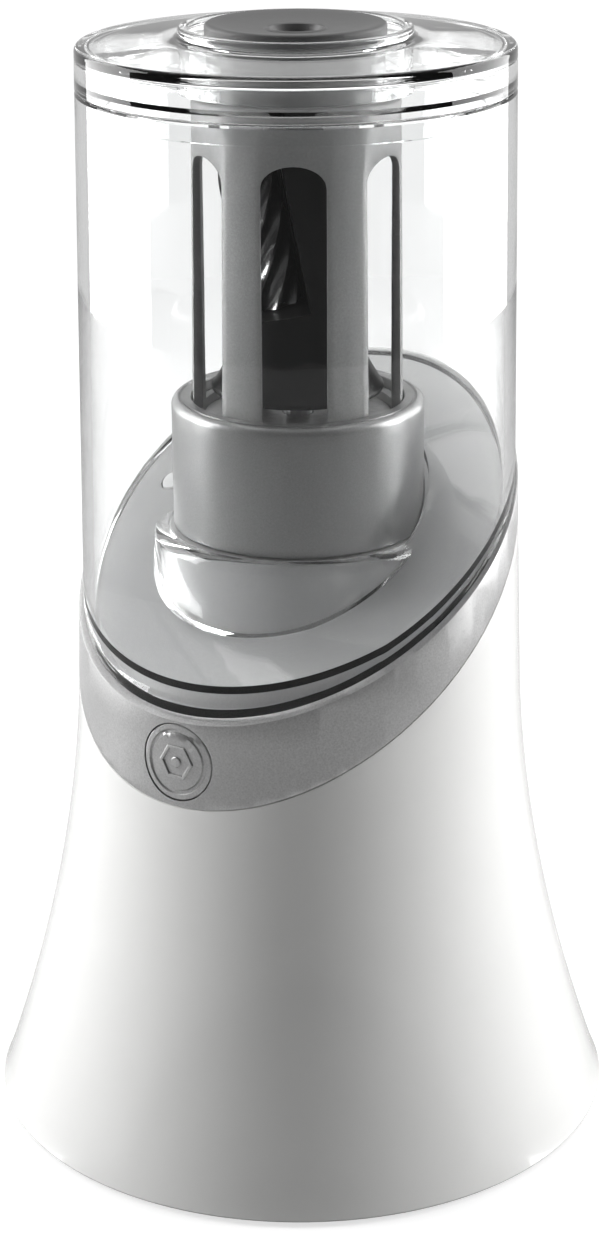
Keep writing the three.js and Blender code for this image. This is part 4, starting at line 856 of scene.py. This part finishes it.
# Along the cutter's own axis, from its apex:
CUTTER_TOP = 59.76 * MM
PINION_MIDDLE = 63.06 * MM
AXLE_FOOT, AXLE_TOP = 19.4 * MM, 67.2 * MM
PINION_RADIUS = 3.987 * MM
AXLE_BORE = 1.8 * MM


def leaning_column(radius, bottom, top, steps=48):
    bm = column(radius, bottom, top, steps)
    bmesh.ops.transform(bm, matrix=CUTTER_PLACE, verts=bm.verts)
    return bm


def leaning_box(width, depth, bottom, top, turn=0.0):
    """A box beside the cutter's axis, open to the outside of the carrier, turned about that axis."""
    bm = bmesh.new()
    bmesh.ops.create_cube(bm, size=1)
    bmesh.ops.scale(bm, vec=(depth, width, top - bottom), verts=bm.verts)
    bmesh.ops.translate(bm, vec=(depth / 2, 0, (top + bottom) / 2), verts=bm.verts)
    bmesh.ops.rotate(bm, verts=bm.verts, matrix=Matrix.Rotation(turn, 3, "Z"))
    bmesh.ops.transform(bm, matrix=CUTTER_PLACE, verts=bm.verts)
    return bm


def build_carrier(s):
    foot = low("carrier_frame", 2)
    hub = high("carrier_frame", 2)
    outline = [
        (0, foot),
        *stations((12 * MM, foot), (16.5 * MM, foot), 2),
        *rounded((16.6 * MM, foot + 0.9 * MM), 0.9 * MM, -90, 60, 5),
        *offsets(0, foot, (16.3, 2.9), (15.3, 4.6), (14.5, 6.1), (14.1, 7.2)),
        *stations((14.0 * MM, foot + 7.9 * MM), (14.0 * MM, ROOF - 3.6 * MM), 14),
        *rounded((14.2 * MM, ROOF - 3.4 * MM), 0.2 * MM, 180, 120, 2),
        (15.1 * MM, ROOF - 1.6 * MM),
        *offsets(0, SHOULDER, (15.1, -0.3), (14.8, 0), (6.9, 0), (6.6, 0.3)),
        (6.6 * MM, hub),
        (0, hub),
    ]
    piece = finished(spin_outline(outline, SMALL_ROUND, closed=False), "cutter_carrier")
    bore = 4.3 * MM
    pencil = spin_outline(
        [(0, TIP), (bore, TIP + bore / math.tan(TILT)), (bore, TOP), (0, TOP)], 48, closed=False
    )
    cut(piece, pencil)
    room = s.radius + 0.7 * MM
    lowest, highest = CUTTER_TOP - s.length - 0.3 * MM, CUTTER_TOP + 0.3 * MM
    cut(
        piece,
        leaning_column(room, lowest, highest),
        leaning_box(2 * room, 2 * room, lowest, highest),
        leaning_box(2 * room, 3 * room, lowest, highest, math.pi / 2),
    )
    room = PINION_RADIUS + 1.1 * MM
    lowest, highest = PINION_MIDDLE - 2.1 * MM, PINION_MIDDLE + 2.1 * MM
    cut(
        piece,
        leaning_column(room, lowest, highest),
        leaning_box(2 * room, 4 * room, lowest, highest),
        leaning_column(AXLE_BORE, AXLE_FOOT, AXLE_TOP, 24),
        column(3.3 * MM, foot - 1 * MM, foot + 5.3 * MM, 32),
    )
    return put(piece, "carrier", "black_plastic", "black plastic", "carrier_frame")


def build_cutter(s):
    """The star-shaped section is swept up a screw, then its ends are closed round the bore."""
    bore = 1.85 * MM
    pitch = 2 * math.pi / s.flutes
    # One flute: shares of its pitch, and of its depth at each of them.
    shares = [(0.0, 0.0), (0.12, 0.0), (0.2, 0.25), (0.34, 0.75), (0.55, 1.0), (0.78, 0.8), (0.93, 0.3)]
    bm = bmesh.new()
    ring = []
    for flute in range(s.flutes):
        for share, deep in shares:
            angle = (flute + share) * pitch
            r = s.radius - s.flute_depth * deep
            ring.append(bm.verts.new((r * math.cos(angle), r * math.sin(angle), 0)))
    edges = [bm.edges.new(pair) for pair in zip(ring, ring[1:] + ring[:1])]
    steps = 56
    helix = math.radians(30)
    twist = math.tan(helix) / s.radius * s.length
    swept = bmesh.ops.spin(
        bm, geom=ring + edges, cent=(0, 0, 0), axis=(0, 0, 1), dvec=(0, 0, s.length / steps),
        angle=twist, steps=steps,
    )
    last = [g for g in swept["geom_last"] if isinstance(g, bmesh.types.BMEdge)]
    for rim, height in ((edges, 0.0), (last, s.length)):
        circle = bmesh.ops.create_circle(bm, segments=len(ring), radius=bore)["verts"]
        bmesh.ops.translate(bm, verts=circle, vec=(0, 0, height))
        inner = list({e for v in circle for e in v.link_edges})
        bmesh.ops.bridge_loops(bm, edges=list(rim) + inner)
    bores = [e for e in bm.edges if e.is_boundary]
    bmesh.ops.bridge_loops(bm, edges=bores)
    bmesh.ops.translate(bm, verts=bm.verts, vec=(0, 0, CUTTER_TOP - s.length))
    bmesh.ops.transform(bm, matrix=CUTTER_PLACE, verts=bm.verts)
    face_outwards(bm)
    piece = finished(bm, "helix_cutter", 40)
    return put(piece, "cutter", "tool_steel", "ground tool steel", "helical_cutter")


# ---- Clear bin and lid ----


def build_bin(s):
    bottom, rim = 90 * MM, BIN_RIM
    foot_radius, rim_radius = bin_radius(bottom), bin_radius(rim)
    bm = spin_outline([
        *stations((foot_radius, bottom), (rim_radius, rim - 0.4 * MM), 24),
        (rim_radius, rim - 0.4 * MM),
        (rim_radius - 0.4 * MM, rim),
        (rim_radius - s.wall, rim),
        *stations((rim_radius - s.wall, rim - 0.2 * MM), (foot_radius - s.wall, bottom), 24),
        (foot_radius - s.wall, bottom),
    ])
    rims = slice_off(bm, BAND_TOP + 0.6 * MM, DECK_SLOPE, keep_below=False)
    soften(bm, rims, 0.4 * MM)
    piece = finished(bm, "clear_bin")
    wall_middle = bin_radius(BAND_TOP) - s.wall * 0.4
    floor = creased_slab(wall_middle, FLOOR_LIFT + s.floor, lambda y: crease_height(y, FLOOR_LIFT))
    join(piece, floor)
    inside = PEDESTAL_RADIUS + s.collar_gap
    outside = inside + s.collar_wall
    r, top = s.collar_round, PEDESTAL_FOOT
    collar = spin_outline([
        (inside - 1 * MM, bottom),
        (outside + 0.9 * MM, bottom),
        *offsets(outside, top, (0.5, -12), (0.15, -5)),
        *rounded((outside - r, top - r), r, 0, 90, 10),
        (inside + 0.2 * MM, top),
        (inside - 1 * MM, top),
    ])
    collar = finished(collar, "collar")
    cut(collar, creased_slab(outside + 5 * MM, FLOOR_LIFT, lambda y: CUT_FOOT))
    bm = bmesh.new()
    bm.from_mesh(collar.data)
    bpy.data.objects.remove(collar)
    join(piece, bm)
    cut(piece, column(inside, CUT_FOOT, CUT_TOP))
    sharpen_floor(piece)
    return put(piece, "bin", "clear_plastic", "clear plastic", "bin_shell")


def build_lid(s):
    rim, edge, top = BIN_RIM, LID_EDGE, TOP
    outer = bin_radius(rim)
    plug = outer - s.wall - 0.35 * MM
    boss, bore = 23.05 * MM, 21.15 * MM
    boss_top = top - 0.7 * MM
    outline = [
        *offsets(plug, rim, (-1.8, -4), (-0.3, -4), (0, -3.7), (0, 0.3)),
        *offsets(outer, rim, (-0.3, 0.3), (0, 0.6)),
        *stations((outer, rim + 0.8 * MM), (LID_RADIUS, edge - 1.3 * MM), 3),
        *rounded((LID_RADIUS - 1.2 * MM, edge - 1.2 * MM), 1.2 * MM, 0, 78, 8),
        *stations((41.2 * MM, edge + 0.06 * MM), (boss + 1.6 * MM, edge + 1.18 * MM), 6),
        *rounded((boss + 0.9 * MM, edge + 2.1 * MM), 0.9 * MM, -90, -180, 5),
        *rounded((boss - 0.5 * MM, boss_top - 0.5 * MM), 0.5 * MM, 0, 90, 5),
        *rounded((bore + 0.4 * MM, boss_top - 0.4 * MM), 0.4 * MM, 90, 180, 4),
        (bore, SHOULDER + 1 * MM),
        (boss, SHOULDER + 1 * MM),
        *offsets(boss, edge, (0, -1.6), (0.7, -1.0)),
        *stations((boss + 1.5 * MM, edge - 1.02 * MM), (outer - 3.4 * MM, edge - 2.2 * MM), 6),
        *rounded((outer - 3.4 * MM, edge - 3.4 * MM), 1.2 * MM, 90, 0, 5),
        (outer - 2.2 * MM, rim + 2.5 * MM),
        (plug - 1.8 * MM, rim + 1.2 * MM),
    ]
    piece = finished(spin_outline(outline), "clear_lid")
    return put(piece, "lid", "clear_plastic", "clear plastic", "bin_lid")


# ---- Pieces kept from the frame ----


def numbered(name, count):
    return [f"{name}_{i + 1}" for i in range(count)]


KEPT = {
    "steel": [
        "ring_gear", "gearbox_lower_plate", "gearbox_upper_plate", *numbered("gearbox_post", 3),
        *numbered("gearbox_screw", 3), "idler_pin", "motor_can", *numbered("motor_screw", 2),
        "switch_bracket", *numbered("cover_screw", 4), "return_spring", "drive_shaft", "cutter_axle",
        "cutter_pinion", "motor_shaft",
    ],
    "brass": ["top_bush", *numbered("motor_terminal", 2), "motor_pinion"],
    "black plastic": [
        "motor_endcap", "start_switch", "interlock_switch", "board_capacitor", "power_jack",
    ],
    "satin pedestal grey": ["bearing_plate"],
    "dark grey plastic": ["bottom_cover"],
    "rubber": numbered("rubber_foot", 4),
    "green board": ["circuit_board"],
    "white nylon": [
        "board_connector", "interlock_plunger", "thrust_button", "output_gear", "compound_gear",
    ],
    "red lead": ["motor_lead_red"],
    "black lead": ["motor_lead_black", "start_switch_lead", "interlock_lead"],
}


def dress_kept_nodes():
    for material, names in KEPT.items():
        for name in names:
            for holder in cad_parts[name].material_slots:
                holder.material = bpy.data.materials[material]


# ---- Studio ----

CAMERA_AZIMUTH = math.radians(31.8)
CAMERA_DOWN = 20.7  # degrees below level
CAMERA_ROLL = math.radians(-0.35)
CAMERA_REACH = 544.6 * MM
CAMERA_HEIGHT = 310.3 * MM
CAMERA_LENS = 79.646
CAMERA_SHIFT = 0.0062
FLOOR_RADIUS = 0.75
FLOOR_GLOW = 0.68
ROOM_BACK = 0.65  # brightness of the room behind the object
ROOM_SEEN = 1.05  # and of the room wherever it is seen directly
# Degrees round from the camera, distance out, height, width, tallness, its setting, shows in gloss.
SOFTBOXES = {
    "right softbox": (112, 0.8, 0.3, 0.85, 1.0, "side_power", True),
    "left softbox": (-113, 0.8, 0.3, 0.66, 1.0, "side_power", True),
    "right wing": (92, 0.8, 0.35, 0.3, 0.8, "wing_power", False),
    "left wing": (-92, 0.8, 0.35, 0.3, 0.8, "wing_power", False),
    "top softbox": (180, 0.35, 1.1, 0.8, 0.8, "top_power", True),
}


def build_softboxes(s):
    seen_from = CAMERA_AZIMUTH - math.pi / 2
    for name, (degrees, reach, height, width, tall, setting, shows) in SOFTBOXES.items():
        data = bpy.data.lights.new(name, "AREA")
        data.shape = "RECTANGLE"
        data.size, data.size_y = width, tall
        data.energy = getattr(s, setting)
        lamp = new_object(name, data)
        angle = seen_from + math.radians(degrees)
        lamp.location = (reach * math.cos(angle), reach * math.sin(angle), height)
        aim = Vector((0, 0, height * 0.7)) - Vector(lamp.location)
        lamp.rotation_euler = aim.to_track_quat("-Z", "Y").to_euler()
        lamp.visible_glossy = shows


def seen_directly(tree):
    """One for a ray straight from the camera or through clear plastic, nought after a bounce."""
    path = tree.nodes.new("ShaderNodeLightPath").outputs
    bounces = maths(tree, "ADD", path["Glossy Depth"], path["Diffuse Depth"])
    through = maths(tree, "MULTIPLY", path["Is Transmission Ray"], maths(tree, "LESS_THAN", bounces, 0.5))
    return maths(tree, "MAXIMUM", path["Is Camera Ray"], through)


def build_floor():
    """A round white table. It throws back less light than it shows."""
    bm = bmesh.new()
    bmesh.ops.create_circle(bm, cap_ends=True, segments=96, radius=FLOOR_RADIUS)
    floor = finished(bm, "studio_floor")
    material = bpy.data.materials.new("studio white")
    tree = empty_tree(material)
    paper = noise(tree, object_place(tree), 400.0, 2.0)
    tone = blend_colour(tree, paper, grey(0.39), grey(0.41))
    sheet = add(tree, "BsdfDiffuse", Color=tone)
    strength = maths(tree, "MULTIPLY", seen_directly(tree), FLOOR_GLOW)
    glow = add(tree, "Emission", Strength=strength)
    both = add(tree, "AddShader", _0=sheet.outputs[0], _1=glow.outputs[0])
    add(tree, "OutputMaterial", Surface=both.outputs[0])
    floor.data.materials.append(material)


def build_room(s):
    """A white room that is bright behind the object and dimmer on the camera's side."""
    world = bpy.data.worlds.new("studio room")
    bpy.context.scene.world = world
    tree = empty_tree(world)
    facing = tree.nodes.new("ShaderNodeTexCoord").outputs["Generated"]
    behind = (-math.sin(CAMERA_AZIMUTH), math.cos(CAMERA_AZIMUTH), 0)
    toward = add(tree, "VectorMath", _0=facing, _1=behind)
    toward.operation = "DOT_PRODUCT"
    level = between(tree, toward.outputs["Value"], s.fill, ROOM_BACK, -0.1, 0.8)
    missing = maths(tree, "SUBTRACT", ROOM_SEEN, level)
    strength = maths(tree, "MULTIPLY_ADD", missing, seen_directly(tree), level)
    background = add(tree, "Background", Color=grey(1.0), Strength=strength)
    add(tree, "OutputWorld", Surface=background.outputs[0])


def build_camera():
    data = bpy.data.cameras.new("studio camera")
    data.sensor_width = 36
    data.lens = CAMERA_LENS
    data.shift_x = CAMERA_SHIFT
    data.clip_start, data.clip_end = 0.01, 30
    camera = new_object("studio camera", data)
    camera.location = (
        CAMERA_REACH * math.sin(CAMERA_AZIMUTH), -CAMERA_REACH * math.cos(CAMERA_AZIMUTH), CAMERA_HEIGHT
    )
    camera.rotation_mode = "QUATERNION"
    look = Matrix.Rotation(math.radians(90 - CAMERA_DOWN), 4, "X")
    turn = Matrix.Rotation(CAMERA_AZIMUTH, 4, "Z") @ look @ Matrix.Rotation(CAMERA_ROLL, 4, "Z")
    camera.rotation_quaternion = turn.to_quaternion()
    bpy.context.scene.camera = camera


# ---- Operators ----


class SHARPENER_OT_finishes(bpy.types.Operator):
    """Makes the finishes and dresses the pieces kept from the frame"""

    bl_idname = "sharpener.finishes"
    bl_label = "Make Finishes"

    def execute(self, context):
        build_materials(context.scene.sharpener_finish)
        dress_kept_nodes()
        return {"FINISHED"}


class SHARPENER_OT_housing(bpy.types.Operator):
    """Builds the flared base, its silver band, the badge and the deck"""

    bl_idname = "sharpener.housing"
    bl_label = "Build Housing"

    def execute(self, context):
        settings = context.scene.sharpener_housing
        build_base(settings)
        build_band(settings)
        build_badge(settings)
        build_deck(settings)
        return {"FINISHED"}


class SHARPENER_OT_tower(bpy.types.Operator):
    """Builds the pedestal, the slotted tower and the entry disc"""

    bl_idname = "sharpener.tower"
    bl_label = "Build Tower"

    def execute(self, context):
        settings = context.scene.sharpener_tower
        build_pedestal()
        build_tower(settings)
        build_disc()
        return {"FINISHED"}


class SHARPENER_OT_cutter(bpy.types.Operator):
    """Builds the cutter carrier and the helical cutter"""

    bl_idname = "sharpener.cutter"
    bl_label = "Build Cutter Head"

    def execute(self, context):
        settings = context.scene.sharpener_cutter
        build_carrier(settings)
        build_cutter(settings)
        return {"FINISHED"}


class SHARPENER_OT_bin(bpy.types.Operator):
    """Builds the clear bin and its lid"""

    bl_idname = "sharpener.bin"
    bl_label = "Build Bin and Lid"

    def execute(self, context):
        settings = context.scene.sharpener_bin
        build_bin(settings)
        build_lid(settings)
        return {"FINISHED"}


class SHARPENER_OT_stage(bpy.types.Operator):
    """Sets up the floor, the softboxes, the room and the camera"""

    bl_idname = "sharpener.stage"
    bl_label = "Set Up Studio"

    def execute(self, context):
        settings = context.scene.sharpener_studio
        context.scene.view_settings.view_transform = "Standard"
        build_camera()
        build_floor()
        build_room(settings)
        build_softboxes(settings)
        return {"FINISHED"}


STEPS = (
    SHARPENER_OT_finishes,
    SHARPENER_OT_housing,
    SHARPENER_OT_tower,
    SHARPENER_OT_cutter,
    SHARPENER_OT_bin,
    SHARPENER_OT_stage,
)
SETTINGS = {
    "sharpener_housing": HousingSettings,
    "sharpener_bin": BinSettings,
    "sharpener_tower": TowerSettings,
    "sharpener_cutter": CutterSettings,
    "sharpener_finish": FinishSettings,
    "sharpener_studio": StudioSettings,
}


class SHARPENER_PT_panel(bpy.types.Panel):
    """Lists the sharpener's steps and settings"""

    bl_label = "Pencil Sharpener"
    bl_idname = "SHARPENER_PT_panel"
    bl_space_type = "VIEW_3D"
    bl_region_type = "UI"
    bl_category = "Sharpener"

    def draw(self, context):
        for step in STEPS:
            self.layout.operator(step.bl_idname)
        for name in SETTINGS:
            box = self.layout.box()
            group = getattr(context.scene, name)
            for key in group.__annotations__:
                box.prop(group, key)


def register():
    for made in (*SETTINGS.values(), *STEPS, SHARPENER_PT_panel):
        bpy.utils.register_class(made)
    for name, group in SETTINGS.items():
        setattr(bpy.types.Scene, name, PointerProperty(type=group))


def unregister():
    for name in SETTINGS:
        delattr(bpy.types.Scene, name)
    for made in reversed((*SETTINGS.values(), *STEPS, SHARPENER_PT_panel)):
        bpy.utils.unregister_class(made)


def main():
    register()
    bpy.ops.sharpener.finishes()
    bpy.ops.sharpener.housing()
    bpy.ops.sharpener.tower()
    bpy.ops.sharpener.cutter()
    bpy.ops.sharpener.bin()
    bpy.ops.sharpener.stage()


if __name__ == "__main__":
    main()
